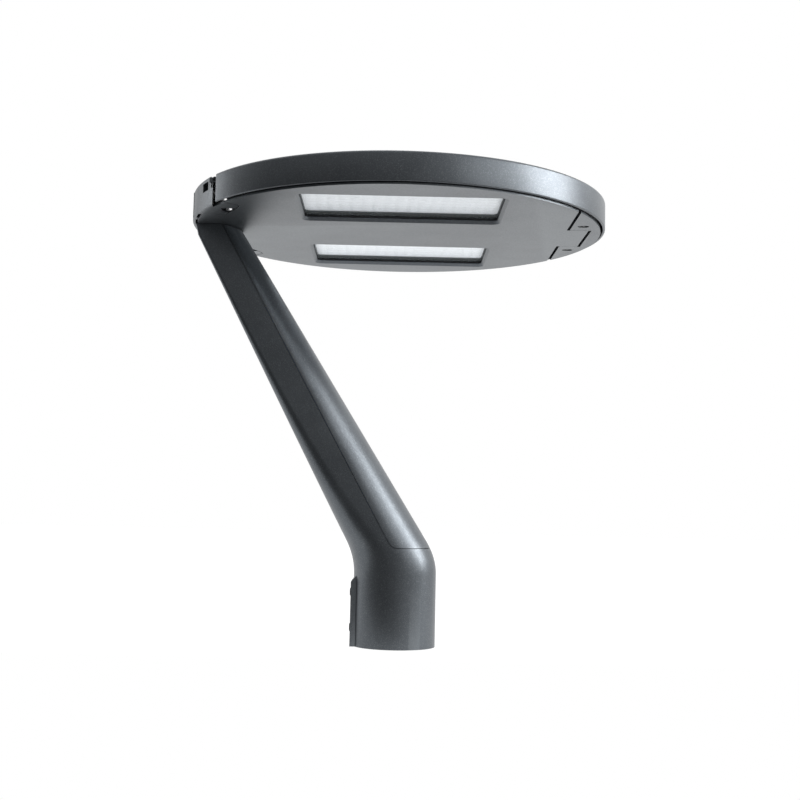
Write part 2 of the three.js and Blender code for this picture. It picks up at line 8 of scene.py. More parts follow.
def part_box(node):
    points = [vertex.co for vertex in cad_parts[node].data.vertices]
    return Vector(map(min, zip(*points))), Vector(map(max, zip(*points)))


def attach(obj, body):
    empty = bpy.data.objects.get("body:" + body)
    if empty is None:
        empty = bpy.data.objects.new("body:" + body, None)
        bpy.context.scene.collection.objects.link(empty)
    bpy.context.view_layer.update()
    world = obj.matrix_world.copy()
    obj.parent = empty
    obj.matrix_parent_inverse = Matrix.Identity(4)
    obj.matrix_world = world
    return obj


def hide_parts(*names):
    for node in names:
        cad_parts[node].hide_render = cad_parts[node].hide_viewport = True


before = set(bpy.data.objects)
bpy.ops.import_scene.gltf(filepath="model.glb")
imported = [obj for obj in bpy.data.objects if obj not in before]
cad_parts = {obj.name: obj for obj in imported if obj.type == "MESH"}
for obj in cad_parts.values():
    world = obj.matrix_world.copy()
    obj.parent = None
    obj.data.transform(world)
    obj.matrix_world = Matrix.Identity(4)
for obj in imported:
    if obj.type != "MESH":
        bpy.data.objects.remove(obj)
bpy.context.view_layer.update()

mm = 0.001

# The head's own frame: centre of the round plate's underside
lidLow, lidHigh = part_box("top_cover")
baseLow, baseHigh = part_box("base_casting")
headR = (lidHigh.y - lidLow.y) / 2 / mm
headAt = Vector((lidHigh.x - headR * mm, 0, baseLow.z))
rimLow = (lidLow.z - headAt.z) / mm
rimTop = (lidHigh.z - headAt.z) / mm
coverRearX = (lidLow.x - headAt.x) / mm
plateR = (baseHigh.y - baseLow.y) / 2 / mm
roundSteps = 256
merge = {"spin": 1e-4, "cut": 1e-3}     # doubles this close are one, in millimetres

camera = {
    "at": (-9.2 * mm, -1513.6 * mm, 168.2 * mm),
    "pitch": 4.787,     # degrees above level
    "yaw": 0.41,        # towards +X
    "roll": 1.218,
    "lens": 56.23,
    "sensor": 36.0,
}


def addCamera():
    pitch, yaw, roll = (math.radians(camera[k]) for k in ("pitch", "yaw", "roll"))
    forward = Vector((math.sin(yaw) * math.cos(pitch), math.cos(yaw) * math.cos(pitch), math.sin(pitch)))
    side = Vector((math.cos(yaw), -math.sin(yaw), 0))
    up = side.cross(forward)
    right = side * math.cos(roll) + up * math.sin(roll)
    above = up * math.cos(roll) - side * math.sin(roll)
    turn = Matrix((right, above, -forward)).transposed()
    data = bpy.data.cameras.new("camera")
    data.lens = camera["lens"]
    data.sensor_width = camera["sensor"]
    data.clip_end = 60
    eye = bpy.data.objects.new("camera", data)
    eye.matrix_world = Matrix.Translation(camera["at"]) @ turn.to_4x4()
    bpy.context.scene.collection.objects.link(eye)
    bpy.context.scene.camera = eye


addCamera()
print("camera placed")


# outlines and shapes are in millimetres until they are finished
def arcPoints(x, y, r, start, end, steps):
    # start and end in degrees
    turn = [math.radians(start + (end - start) * i / steps) for i in range(steps + 1)]
    return [(x + r * math.cos(a), y + r * math.sin(a)) for a in turn]


def roundedRect(x, y, length, width, r, steps=8):
    hx, hy = length / 2 - r, width / 2 - r
    corners = ((hx, -hy, -90), (hx, hy, 0), (-hx, hy, 90), (-hx, -hy, 180))
    points = []
    for cx, cy, start in corners:
        points += arcPoints(x + cx, y + cy, r, start, start + 90, steps)
    return points


def softened(corners, steps=4):
    # rounds each corner of an outline: corners are (x, y) or (x, y, radius)
    points = []
    count = len(corners)
    for i, corner in enumerate(corners):
        here = Vector(corner[:2])
        r = corner[2] if len(corner) > 2 else 0
        if not r:
            points.append(tuple(here))
            continue
        back = (Vector(corners[i - 1][:2]) - here).normalized()
        ahead = (Vector(corners[(i + 1) % count][:2]) - here).normalized()
        half = back.angle(ahead) / 2
        middle = here + (back + ahead).normalized() * (r / math.sin(half))
        start = here + back * (r / math.tan(half)) - middle
        end = here + ahead * (r / math.tan(half)) - middle
        turn = start.angle_signed(end)
        for k in range(steps + 1):
            a = -turn * k / steps
            spun = Vector((start.x * math.cos(a) - start.y * math.sin(a),
                           start.x * math.sin(a) + start.y * math.cos(a)))
            points.append(tuple(middle + spun))
    return points


def prism(points, low, high):
    bm = bmesh.new()
    face = bm.faces.new([bm.verts.new((x, y, low)) for x, y in points])
    made = bmesh.ops.extrude_face_region(bm, geom=[face], use_keep_orig=True)
    raised = [v for v in made["geom"] if isinstance(v, bmesh.types.BMVert)]
    bmesh.ops.translate(bm, verts=raised, vec=(0, 0, high - low))
    bmesh.ops.recalc_face_normals(bm, faces=bm.faces)
    return bm


def sidePrism(points, low, high):
    # an outline in X and Z, carried along Y
    bm = prism(points, low, high)
    bmesh.ops.rotate(bm, verts=bm.verts, cent=(0, 0, 0), matrix=Matrix.Rotation(math.pi / 2, 3, "X"))
    bmesh.ops.translate(bm, verts=bm.verts, vec=(0, low + high, 0))
    return bm


def block(x0, x1, y0, y1, z0, z1):
    bm = bmesh.new()
    bmesh.ops.create_cube(bm, size=1)
    bmesh.ops.scale(bm, verts=bm.verts, vec=(x1 - x0, y1 - y0, z1 - z0))
    bmesh.ops.translate(bm, verts=bm.verts, vec=((x0 + x1) / 2, (y0 + y1) / 2, (z0 + z1) / 2))
    return bm


def rod(start, end, r, sides=32, endR=None):
    start, end = Vector(start), Vector(end)
    turn = (end - start).to_track_quat("Z", "Y").to_matrix().to_4x4()
    bm = bmesh.new()
    bmesh.ops.create_cone(bm, cap_ends=True, segments=sides, radius1=r, radius2=r if endR is None else endR,
                          depth=(end - start).length, matrix=Matrix.Translation((start + end) / 2) @ turn)
    return bm


def turned(profile, steps=roundSteps):
    # spins (radius, height) points round the vertical axis
    bm = bmesh.new()
    verts = [bm.verts.new((r, 0, z)) for r, z in profile]
    edges = [bm.edges.new(pair) for pair in zip(verts, verts[1:])]
    bmesh.ops.spin(bm, geom=verts + edges, cent=(0, 0, 0), axis=(0, 0, 1), angle=math.tau, steps=steps,
                   use_merge=True)
    bmesh.ops.remove_doubles(bm, verts=bm.verts, dist=merge["spin"])
    bmesh.ops.recalc_face_normals(bm, faces=bm.faces)
    return bm


def skinned(rings):
    # bridges a stack of rings and fills both ends
    bm = bmesh.new()
    loops = []
    for ring in rings:
        verts = [bm.verts.new(p) for p in ring]
        loops.append([bm.edges.new((verts[i - 1], verts[i])) for i in range(len(verts))])
    for lower, upper in zip(loops, loops[1:]):
        bmesh.ops.bridge_loops(bm, edges=lower + upper)
    for end in (loops[0], loops[-1]):
        bmesh.ops.edgeloop_fill(bm, edges=end)
    bmesh.ops.recalc_face_normals(bm, faces=bm.faces)
    return bm


def together(shapes):
    # gathers separate shapes in one bmesh
    whole = bmesh.new()
    for bm in shapes:
        mesh = bpy.data.meshes.new("loose")
        bm.to_mesh(mesh)
        bm.free()
        whole.from_mesh(mesh)
        bpy.data.meshes.remove(mesh)
    return whole


def looseObject(bm):
    mesh = bpy.data.meshes.new("loose")
    bm.to_mesh(mesh)
    bm.free()
    loose = bpy.data.objects.new("loose", mesh)
    bpy.context.scene.collection.objects.link(loose)
    return loose


def carved(bm, *tools, how="DIFFERENCE"):
    # cuts, joins or crosses a shape with others, one after the other
    target = looseObject(bm)
    cutters = [looseObject(tool) for tool in tools]
    for cutter in cutters:
        cut = target.modifiers.new("cut", "BOOLEAN")
        cut.operation = how
        cut.solver = "EXACT"
        cut.object = cutter
    bpy.context.view_layer.update()
    seen = target.evaluated_get(bpy.context.evaluated_depsgraph_get())
    result = bmesh.new()
    result.from_mesh(seen.to_mesh())
    seen.to_mesh_clear()
    for used in [target] + cutters:
        mesh = used.data
        bpy.data.objects.remove(used)
        bpy.data.meshes.remove(mesh)
    bmesh.ops.remove_doubles(result, verts=result.verts, dist=merge["cut"])
    bmesh.ops.dissolve_degenerate(result, dist=merge["cut"], edges=result.edges)
    return result


def joined(bm, *others):
    return carved(bm, *others, how="UNION")


def common(bm, other):
    return carved(bm, other, how="INTERSECT")


def mirroredY(bm):
    bmesh.ops.scale(bm, verts=bm.verts, vec=(1, -1, 1))
    bmesh.ops.reverse_faces(bm, faces=bm.faces)
    return bm


def makePiece(name, bm, body, skin, stands=(), inHead=True, soft=0.4, limit=34, steps=2):
    bmesh.ops.scale(bm, verts=bm.verts, vec=(mm, mm, mm))
    if inHead:
        bmesh.ops.translate(bm, verts=bm.verts, vec=headAt)
    mesh = bpy.data.meshes.new(name)
    bm.to_mesh(mesh)
    bm.free()
    mesh.materials.append(skin)
    piece = bpy.data.objects.new(name, mesh)
    bpy.context.scene.collection.objects.link(piece)
    for polygon in mesh.polygons:
        polygon.use_smooth = True
    if soft:
        edges = piece.modifiers.new("edges", "BEVEL")
        edges.width = soft * mm
        edges.segments = steps
        edges.limit_method = "ANGLE"
        edges.angle_limit = math.radians(limit)
        edges.harden_normals = True
    else:
        mesh.set_sharp_from_angle(angle=math.radians(limit))
    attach(piece, body)
    if stands:
        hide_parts(*stands)


# finishes
def newSkin(name):
    material = bpy.data.materials.new(name)
    material.use_nodes = True
    tree = material.node_tree
    return material, tree.nodes, tree.links, tree.nodes["Principled BSDF"]


def noiseAt(nodes, links, scale, detail=3.0, roughness=0.5, stretch=(1, 1, 1)):
    where = nodes.new("ShaderNodeTexCoord")
    place = nodes.new("ShaderNodeMapping")
    place.inputs["Scale"].default_value = stretch
    noise = nodes.new("ShaderNodeTexNoise")
    noise.inputs["Scale"].default_value = scale
    noise.inputs["Detail"].default_value = detail
    noise.inputs["Roughness"].default_value = roughness
    links.new(where.outputs["Object"], place.inputs["Vector"])
    links.new(place.outputs["Vector"], noise.inputs["Vector"])
    return noise.outputs["Fac"]


def ramp(nodes, links, source, stops):
    made = nodes.new("ShaderNodeValToRGB")
    bar = made.color_ramp.elements
    while len(bar) < len(stops):
        bar.new(0.5)
    for stop, (at, color) in zip(bar, stops):
        stop.position = at
        stop.color = (*color, 1)
    links.new(source, made.inputs["Fac"])
    return made.outputs["Color"]


def spread(nodes, links, source, low, high, fromLow=0.3, fromHigh=0.7):
    # stretches a 0 to 1 signal over a new range
    made = nodes.new("ShaderNodeMapRange")
    made.inputs["From Min"].default_value = fromLow
    made.inputs["From Max"].default_value = fromHigh
    made.inputs["To Min"].default_value = low
    made.inputs["To Max"].default_value = high
    links.new(source, made.inputs["Value"])
    return made.outputs["Result"]


def tinted(nodes, links, source, first, second, shader, start=0.3, end=0.7):
    # base colour between two tones
    links.new(ramp(nodes, links, source, [(start, first), (end, second)]), shader.inputs["Base Color"])


def roughened(nodes, links, source, low, high, shader):
    links.new(spread(nodes, links, source, low, high), shader.inputs["Roughness"])


def bump(nodes, links, height, strength, distance, shader):
    made = nodes.new("ShaderNodeBump")
    made.inputs["Strength"].default_value = strength
    made.inputs["Distance"].default_value = distance
    links.new(height, made.inputs["Height"])
    links.new(made.outputs["Normal"], shader.inputs["Normal"])


def mixColor(nodes, links, how, amount, first, second):
    made = nodes.new("ShaderNodeMix")
    made.data_type = "RGBA"
    made.blend_type = how
    if isinstance(amount, float):
        made.inputs["Factor"].default_value = amount
    else:
        links.new(amount, made.inputs["Factor"])
    for socket, value in (("A", first), ("B", second)):
        target = [s for s in made.inputs if s.name == socket and s.type == "RGBA"][0]
        if isinstance(value, tuple):
            target.default_value = (*value, 1)
        else:
            links.new(value, target)
    return [s for s in made.outputs if s.type == "RGBA"][0]


coatLook = {
    "color": (0.098, 0.108, 0.119),
    "bright": (0.122, 0.134, 0.146),
    "metallic": 0.92,
    "roughness": (0.34, 0.44),
    "grain": 900,       # fine leather of the powder coat
    "flake": 1500,
    "cloud": 22,
    "flakeAndEdgeHighlight": (0.23, 0.25, 0.265),      # pale flakes, and the painted highlight on edges
    "shaded": (0.066, 0.073, 0.081),    # bottoms of the grain
}


def powderCoat():
    # metallic dark grey powder coat: fine grain, tiny bright flakes, and a painted highlight along its edges
    material, nodes, links, shader = newSkin("powder_coat")
    cloud = noiseAt(nodes, links, coatLook["cloud"], detail=4)
    grain = noiseAt(nodes, links, coatLook["grain"], detail=2, roughness=0.6)
    body = ramp(nodes, links, cloud, [(0.3, coatLook["color"]), (0.72, coatLook["bright"])])
    speck = nodes.new("ShaderNodeTexVoronoi")
    speck.inputs["Scale"].default_value = coatLook["flake"]
    where = nodes.new("ShaderNodeTexCoord")
    links.new(where.outputs["Object"], speck.inputs["Vector"])
    bright = spread(nodes, links, speck.outputs["Color"], 0.0, 0.55, 0.62, 0.95)
    flaked = mixColor(nodes, links, "MIX", bright, body, coatLook["flakeAndEdgeHighlight"])
    dark = spread(nodes, links, grain, 0.0, 0.35, 0.42, 0.25)
    toned = mixColor(nodes, links, "MIX", dark, flaked, coatLook["shaded"])
    geometry = nodes.new("ShaderNodeNewGeometry")
    # painted highlight: convex edges made lighter where pointiness is high
    flakeAndEdgeHighlight = spread(nodes, links, geometry.outputs["Pointiness"], 0.0, 0.35, 0.53, 0.62)
    edgeHighlighted = mixColor(nodes, links, "MIX", flakeAndEdgeHighlight, toned, coatLook["flakeAndEdgeHighlight"])
    links.new(edgeHighlighted, shader.inputs["Base Color"])
    shader.inputs["Metallic"].default_value = coatLook["metallic"]
    roughened(nodes, links, grain, *coatLook["roughness"], shader)
    bump(nodes, links, grain, 0.22, 0.00012, shader)
    return material


def blackPlastic():
    material, nodes, links, shader = newSkin("black_plastic")
    grain = noiseAt(nodes, links, 1400, detail=2)
    tone = noiseAt(nodes, links, 40, detail=3)
    tinted(nodes, links, tone, (0.010, 0.012, 0.016), (0.020, 0.023, 0.029), shader)
    roughened(nodes, links, grain, 0.42, 0.6, shader)
    bump(nodes, links, grain, 0.25, 0.00008, shader)
    return material


def sealRubber():
    material, nodes, links, shader = newSkin("seal_rubber")
    grain = noiseAt(nodes, links, 900, detail=4)
    tinted(nodes, links, grain, (0.008, 0.009, 0.011), (0.020, 0.021, 0.023), shader, 0.35, 0.7)
    roughened(nodes, links, grain, 0.7, 0.9, shader)
    bump(nodes, links, grain, 0.3, 0.0001, shader)
    return material


def millAluminium():
    # extruded or cut aluminium: fine streaks along X
    material, nodes, links, shader = newSkin("mill_aluminium")
    streak = noiseAt(nodes, links, 60, detail=6, roughness=0.7, stretch=(0.5, 24, 24))
    tone = noiseAt(nodes, links, 15, detail=3)
    tinted(nodes, links, tone, (0.50, 0.51, 0.52), (0.62, 0.63, 0.64), shader)
    shader.inputs["Metallic"].default_value = 1.0
    roughened(nodes, links, streak, 0.28, 0.5, shader)
    bump(nodes, links, streak, 0.15, 0.00006, shader)
    return material


def screwSteel():
    material, nodes, links, shader = newSkin("screw_steel")
    scuff = noiseAt(nodes, links, 500, detail=5, roughness=0.65)
    tinted(nodes, links, scuff, (0.34, 0.345, 0.35), (0.55, 0.555, 0.56), shader)
    shader.inputs["Metallic"].default_value = 1.0
    roughened(nodes, links, scuff, 0.22, 0.42, shader)
    bump(nodes, links, scuff, 0.12, 0.00005, shader)
    return material


def blackened(name):
    # dark metal, for the screws, pins and straps that show from outside
    material, nodes, links, shader = newSkin(name)
    scuff = noiseAt(nodes, links, 600, detail=5, roughness=0.65)
    tinted(nodes, links, scuff, (0.014, 0.015, 0.017), (0.045, 0.047, 0.05), shader, 0.35, 0.75)
    shader.inputs["Metallic"].default_value = 0.85
    roughened(nodes, links, scuff, 0.4, 0.6, shader)
    bump(nodes, links, scuff, 0.12, 0.00005, shader)
    return material


def clearGlass(name, alpha, tint):
    # toughened glass with a very faint ripple and a little dust
    material, nodes, links, shader = newSkin(name)
    ripple = noiseAt(nodes, links, 35, detail=1)
    dust = noiseAt(nodes, links, 260, detail=6, roughness=0.7)
    shader.inputs["Base Color"].default_value = (*tint, 1)
    links.new(spread(nodes, links, dust, 0.04, 0.16, 0.45, 0.75), shader.inputs["Roughness"])
    links.new(spread(nodes, links, dust, alpha, alpha + 0.05, 0.4, 0.75), shader.inputs["Alpha"])
    shader.inputs["IOR"].default_value = 1.52
    bump(nodes, links, ripple, 0.03, 0.0002, shader)
    return material


def siliconCells():
    # dark blue-black cells with a soft change of tone from cell to cell
    material, nodes, links, shader = newSkin("silicon_cells")
    where = nodes.new("ShaderNodeTexCoord")
    patch = nodes.new("ShaderNodeTexVoronoi")
    patch.inputs["Scale"].default_value = 18
    links.new(where.outputs["Object"], patch.inputs["Vector"])
    grain = noiseAt(nodes, links, 700, detail=4)
    blue = ramp(nodes, links, patch.outputs["Distance"],
                [(0.0, (0.006, 0.010, 0.026)), (1.0, (0.010, 0.018, 0.046))])
    shade = ramp(nodes, links, grain, [(0.3, (0.6, 0.6, 0.6)), (0.7, (1, 1, 1))])
    links.new(mixColor(nodes, links, "MULTIPLY", 0.5, blue, shade), shader.inputs["Base Color"])
    roughened(nodes, links, grain, 0.22, 0.36, shader)
    shader.inputs["Metallic"].default_value = 0.3
    return material


def whiteBoard():
    material, nodes, links, shader = newSkin("white_board")
    tone = noiseAt(nodes, links, 120, detail=3)
    tinted(nodes, links, tone, (0.86, 0.87, 0.88), (0.93, 0.93, 0.94), shader)
    roughened(nodes, links, tone, 0.35, 0.5, shader)
    return material


def lensAcrylic():
    # clear moulded lenses over white: milky, with a faint painted glow that brightens them
    material, nodes, links, shader = newSkin("lens_acrylic")
    tone = noiseAt(nodes, links, 160, detail=2)
    tinted(nodes, links, tone, (0.74, 0.76, 0.79), (0.80, 0.82, 0.85), shader)
    roughened(nodes, links, tone, 0.28, 0.42, shader)
    shader.inputs["Coat Weight"].default_value = 0.3
    # painted glow: the lamp is not on, the emission stands in for light falling on the lenses
    shader.inputs["Emission Color"].default_value = (0.92, 0.95, 1.0, 1)
    shader.inputs["Emission Strength"].default_value = 0.26
    return material


def shrinkWrap():
    material, nodes, links, shader = newSkin("battery_wrap")
    wrinkle = noiseAt(nodes, links, 90, detail=5, stretch=(1, 1, 0.25))
    tinted(nodes, links, wrinkle, (0.015, 0.07, 0.22), (0.025, 0.11, 0.31), shader)
    shader.inputs["Roughness"].default_value = 0.3
    bump(nodes, links, wrinkle, 0.35, 0.0005, shader)
    return material


def circuitGreen():
    material, nodes, links, shader = newSkin("circuit_green")
    where = nodes.new("ShaderNodeTexCoord")
    tracks = nodes.new("ShaderNodeTexBrick")
    tracks.inputs["Scale"].default_value = 160
    tracks.inputs["Mortar Size"].default_value = 0.06
    tracks.inputs["Color1"].default_value = (0.012, 0.11, 0.045, 1)
    tracks.inputs["Color2"].default_value = (0.016, 0.14, 0.06, 1)
    tracks.inputs["Mortar"].default_value = (0.05, 0.24, 0.11, 1)
    links.new(where.outputs["Object"], tracks.inputs["Vector"])
    links.new(tracks.outputs["Color"], shader.inputs["Base Color"])
    shader.inputs["Roughness"].default_value = 0.35
    return material


coat = powderCoat()
black = blackPlastic()
rubber = sealRubber()
alloy = millAluminium()
steel = screwSteel()
darkSteel = blackened("black_steel")
blackAlloy = blackened("black_aluminium")
windowGlassSkin = clearGlass("window_glass_clear", 0.10, (0.80, 0.88, 0.90))
panelGlassSkin = clearGlass("panel_glass_clear", 0.08, (0.55, 0.62, 0.70))
cellSkin = siliconCells()
white = whiteBoard()
acrylic = lensAcrylic()
wrap = shrinkWrap()
green = circuitGreen()
print("materials made")


# the arm and its collar
arm = {
    "collarR": 49.3,
    "bendZ": 105.4,
    "bendSoft": 20,
    "rearSlope": 0.514,
    "frontSlope": 0.6247,
    "seamSlope": 0.553,
    "rearLimit": -247.5,
    "wall": 4,
    "top": 498.2,
    "roomLow": 93,
    "coverLow": 116.7,
    "coverGap": 0.7,
    "socketR": 44.3,
    "ribR": 39.4,
    "socketTop": 88,
    "ribHalf": 2,
    "ribAngles": (225, 270, 315, 405, 450, 495),
    "flatHalf": 14,         # the bore's flat behind the clamp pad
    "mouthR": 46.6,
    "padHalf": 18,
    "padX": -52.3,
    "padTop": 84,
    "sideSlope": 0.026,
    "cornerFade": 140,
    "ridgeY": (38, 0.0204),     # the side's front ridge, and how fast it closes in
    "ridgeX": (17.9, 0.02),
    "bendStep": 2.5,
    "levelStep": 12,
    "sideSteps": 14,
    "crownSteps": 12,
    "topPlate": 8,
    "wireX": -235,
    "wireR": 7,
    "boltR": 3.3,
    "poleScrewR": 5.1,
}


def runOut(z):
    # how far the arm has leaned out at a height
    over = z - arm["bendZ"]
    soft = arm["bendSoft"]
    if over < -soft:
        return 0
    return over if over > soft else (over + soft) ** 2 / (4 * soft)


def armRing(z, wall):
    run = runOut(z)
    rear = max(-arm["collarR"] - arm["rearSlope"] * run, arm["rearLimit"]) + wall
    front = arm["collarR"] - arm["frontSlope"] * run - wall
    half = arm["collarR"] - arm["sideSlope"] * run - wall
    corner = max((arm["collarR"] - 0.3) * math.exp(-run / arm["cornerFade"]) - wall, 1)
    seam = max(0.5 - arm["seamSlope"] * run, rear + corner + 0.5)
    thin = half / (half + wall)
    (acrossY, slopeY), (backX, slopeX) = arm["ridgeY"], arm["ridgeX"]
    ridgeY = (acrossY - slopeY * run) * thin
    ridgeX = front - (backX - slopeX * run) * thin
    steps = arm["sideSteps"]
    side = arcPoints(rear + corner, half - corner, corner, 180, 90, steps)
    for i in range(steps + 1):
        t = i / steps
        side.append((seam + (ridgeX - seam) * t, half + (ridgeY - half) * t * t))
    crownR = (ridgeY ** 2 + (front - ridgeX) ** 2) / (2 * (front - ridgeX))
    crown = math.degrees(math.asin(ridgeY / crownR))
    side += arcPoints(front - crownR, 0, crownR, crown, 0, arm["crownSteps"])[1:-1]
    ring = [(rear, 0)] + side + [(front, 0)] + [(x, -y) for x, y in reversed(side)]
    return [(x, y, z) for x, y in ring]


def armShape(low, high, wall):
    start, end = arm["bendZ"] - arm["bendSoft"], arm["bendZ"] + arm["bendSoft"]
    step, rise = arm["bendStep"], arm["levelStep"]
    levels = [start + i * step for i in range(int((end - start) / step + 0.5) + 1)]
    levels += [end + rise + i * rise for i in range(int((high - end) / rise))]
    levels = [low] + [z for z in levels if low + 1 < z < high - 1] + [high]
    return skinned([armRing(z, wall) for z in levels])


def coverZone(inset):
    def seamAt(z):
        return 1 - arm["seamSlope"] * (z - arm["bendZ"]) + inset
    low, top = arm["coverLow"] + inset, arm["top"] + 20
    bend, steps, outside = 8, 8, 100
    start, middle, end = (seamAt(low + bend), low + bend), (seamAt(low), low), (seamAt(low) + bend, low)
    turn = []
    for i in range(steps + 1):
        t = i / steps
        first, second, third = (1 - t) ** 2, 2 * t * (1 - t), t * t
        turn.append(tuple(first * a + second * b + third * c for a, b, c in zip(start, middle, end)))
    return sidePrism([(seamAt(top), top)] + turn + [(outside, low), (outside, top)], -outside, outside)


def socketOutline():
    # round bore with six ribs that centre the pole, and a flat pad at the rear
    r, ribR, ribHalf, flat = arm["socketR"], arm["ribR"], arm["ribHalf"], arm["flatHalf"]
    padTurn = math.degrees(math.asin(flat / r))
    reach = math.degrees(math.asin(ribHalf / r))
    points = [(-ribR, flat), (-ribR, -flat)]
    last = 180 + padTurn
    for a in arm["ribAngles"]:
        points += arcPoints(0, 0, r, last, a - reach, 10)
        x, y = math.cos(math.radians(a)), math.sin(math.radians(a))
        points += [(ribR * x - side * y, ribR * y + side * x) for side in (-ribHalf, ribHalf)]
        last = a + reach
    return points + arcPoints(0, 0, r, last, 540 - padTurn, 10)


screwSpots = [(-240, -26), (-240, 26), (-222, -26), (-222, 26)]
poleScrews = {"lower": 21, "upper": 63}


def makeArm():
    padX, padTop, top, wireX = arm["padX"], arm["padTop"], arm["top"], arm["wireX"]
    pad = [(-40, 0), (padX, 0), (padX, padTop - 8, 2), (padX + 6.8, padTop, 2), (-40, padTop)]
    padShape = sidePrism(softened(pad), -arm["padHalf"], arm["padHalf"])
    room = armShape(arm["roomLow"], top - arm["topPlate"], arm["wall"])
    shape = joined(armShape(0, top, 0), padShape)
    mouth = rod((0, 0, -0.5), (0, 0, 2.2), arm["mouthR"], 96, endR=44.2)
    low, high = top - arm["topPlate"] - 1, top + 1
    cutters = [room, prism(socketOutline(), -1, arm["socketTop"]), mouth, coverZone(0)]
    cutters += [rod((x - 4, y, low), (x - 4, y, high), arm["boltR"]) for x, y in screwSpots]
    cutters += [rod((wireX, 0, low), (wireX, 0, high), arm["wireR"]), rod((0, 0, 80), (0, 0, 100), 11, 48)]
    cutters += [rod((-60, 0, z), (-30, 0, z), arm["poleScrewR"]) for z in poleScrews.values()]
    cutters += [rod((-53, 0, z), (-50.9, 0, z), 6.6, 40, endR=5) for z in poleScrews.values()]
    shape = carved(shape, *cutters)
    makePiece("arm_body", shape, "lamp", coat, ["arm_casting"], inHead=False, soft=0.45)


def makeArmCover():
    skin = armShape(arm["coverLow"] - 10, arm["top"] - 0.4, 0)
    room = armShape(arm["roomLow"], arm["top"] - arm["topPlate"], arm["wall"])
    shape = common(carved(skin, room), coverZone(arm["coverGap"]))
    makePiece("arm_front_cover", shape, "lamp", coat, ["arm_cover"], inHead=False, soft=0.35)


def makePoleScrews():
    r, length, startX, keyR = 4.7, 14.8, -53.6, 2.9
    for name, z in poleScrews.items():
        profile = [(0, 0), (r - 0.5, 0), (r, 0.5), (r, length - 1.4), (r - 1.3, length), (0, length)]
        shape = turned(profile, 48)
        lie = Matrix.Rotation(math.pi / 2, 3, "Y")
        bmesh.ops.rotate(shape, verts=shape.verts, cent=(0, 0, 0), matrix=lie)
        bmesh.ops.translate(shape, verts=shape.verts, vec=(startX, 0, z))
        shape = carved(shape, rod((-54, 0, z), (-48.4, 0, z), keyR, 6))
        makePiece("pole_set_screw_" + name, shape, "lamp", darkSteel, ["pole_screw_" + name],
                  inHead=False, soft=0.35)


makeArm()
makeArmCover()
makePoleScrews()
print("arm made")


# battery in the arm, in a frame that leans with it
battery = {
    "lean": -math.atan((arm["rearSlope"] + arm["frontSlope"]) / 2),
    "z": 275,
    "back": -5,
    "cells": 4,
    "cellR": 16.3,
    "cellL": 70,
    "spread": 17,
    "bands": {"lower": -90, "upper": 110},
    "trayX": (-20.6, -18.2),
    "trayHalf": 34,
    "trayEnd": 148,
    "endPlate": 3,
}


def leaned(bm):
    middle = math.tan(battery["lean"]) * runOut(battery["z"]) + battery["back"]
    place = Matrix.Translation((middle, 0, battery["z"])) @ Matrix.Rotation(battery["lean"], 4, "Y")
    bmesh.ops.transform(bm, matrix=place, verts=bm.verts)
    return bm


def makeBattery():
    half = battery["cells"] * battery["cellL"] / 2
    r = battery["cellR"]
    for name, side in (("near", -1), ("far", 1)):
        profile = [(0, -half + 1), (9, -half + 1), (10, -half), (r - 2.5, -half), (r - 0.7, -half + 0.7),
                   (r, -half + 2.5)]
        for i in range(1, battery["cells"]):
            z = -half + i * battery["cellL"]
            profile += [(r, z - 3), (r - 0.35, z - 1), (r - 0.35, z + 1), (r, z + 3)]
        profile += [(r, half - 2.5), (r - 0.7, half - 0.7), (r - 2.5, half), (10, half), (9, half - 1),
                    (0, half - 1)]
        stick = turned(profile, 64)
        bmesh.ops.translate(stick, verts=stick.verts, vec=(0, side * battery["spread"], 0))
        makePiece("battery_cells_" + name, leaned(stick), "lamp", wrap,
                  ["battery_stick_" + name], inHead=False, soft=0)
    wide = battery["spread"] * 2 + r * 2
    for name, z in battery["bands"].items():
        outside = prism(roundedRect(0, 0, r * 2 + 3, wide + 3, 17.6, 16), z - 7, z + 7)
        inside = prism(roundedRect(0, 0, r * 2 + 0.8, wide + 0.8, 16.5, 16), z - 8, z + 8)
        makePiece("battery_band_" + name, leaned(carved(outside, inside)), "lamp", rubber,
                  ["battery_strap_" + name], inHead=False, soft=0.4)


def makeBatteryTray():
    (back, face), half, end = battery["trayX"], battery["trayHalf"], battery["trayEnd"]
    inner = end - battery["endPlate"]
    parts = [block(back, 4, -half, half, z, z + battery["endPlate"]) for z in (-end, inner)]
    ribs = [block(face - 0.2, -17.3, y - 1, y + 1, -inner, inner) for y in (2 - half, 0, half - 2)]
    tray = joined(block(back, face, -half, half, -end, end), *parts, *ribs)
    ways = [block(-22, -17, -10, 10, z - 12, z + 12) for z in (-60, 60)]
    tray = carved(tray, *ways, block(-10, 8, -9, 9, 140, 150))
    makePiece("battery_cradle", leaned(tray), "lamp", black, ["battery_tray"],
              inHead=False, soft=0.4)


def makeBatteryBoard():
    face = 19.5
    board = block(face - 1.6, face, -14, 14, 30, 90)
    makePiece("battery_guard_board", leaned(board), "lamp", green, ["battery_board"],
              inHead=False, soft=0.15)
    chips = [block(face, face + 1.2, y - 2.5, y + 2.5, z - 3, z + 3)
             for y in (-8, 0, 8) for z in (44, 58, 72)]
    chips.append(block(face, face + 3, -10, 10, 80, 88))
    makePiece("battery_guard_chips", leaned(together(chips)), "lamp", black,
              inHead=False, soft=0.2)


makeBattery()
makeBatteryTray()
makeBatteryBoard()
print("battery made")


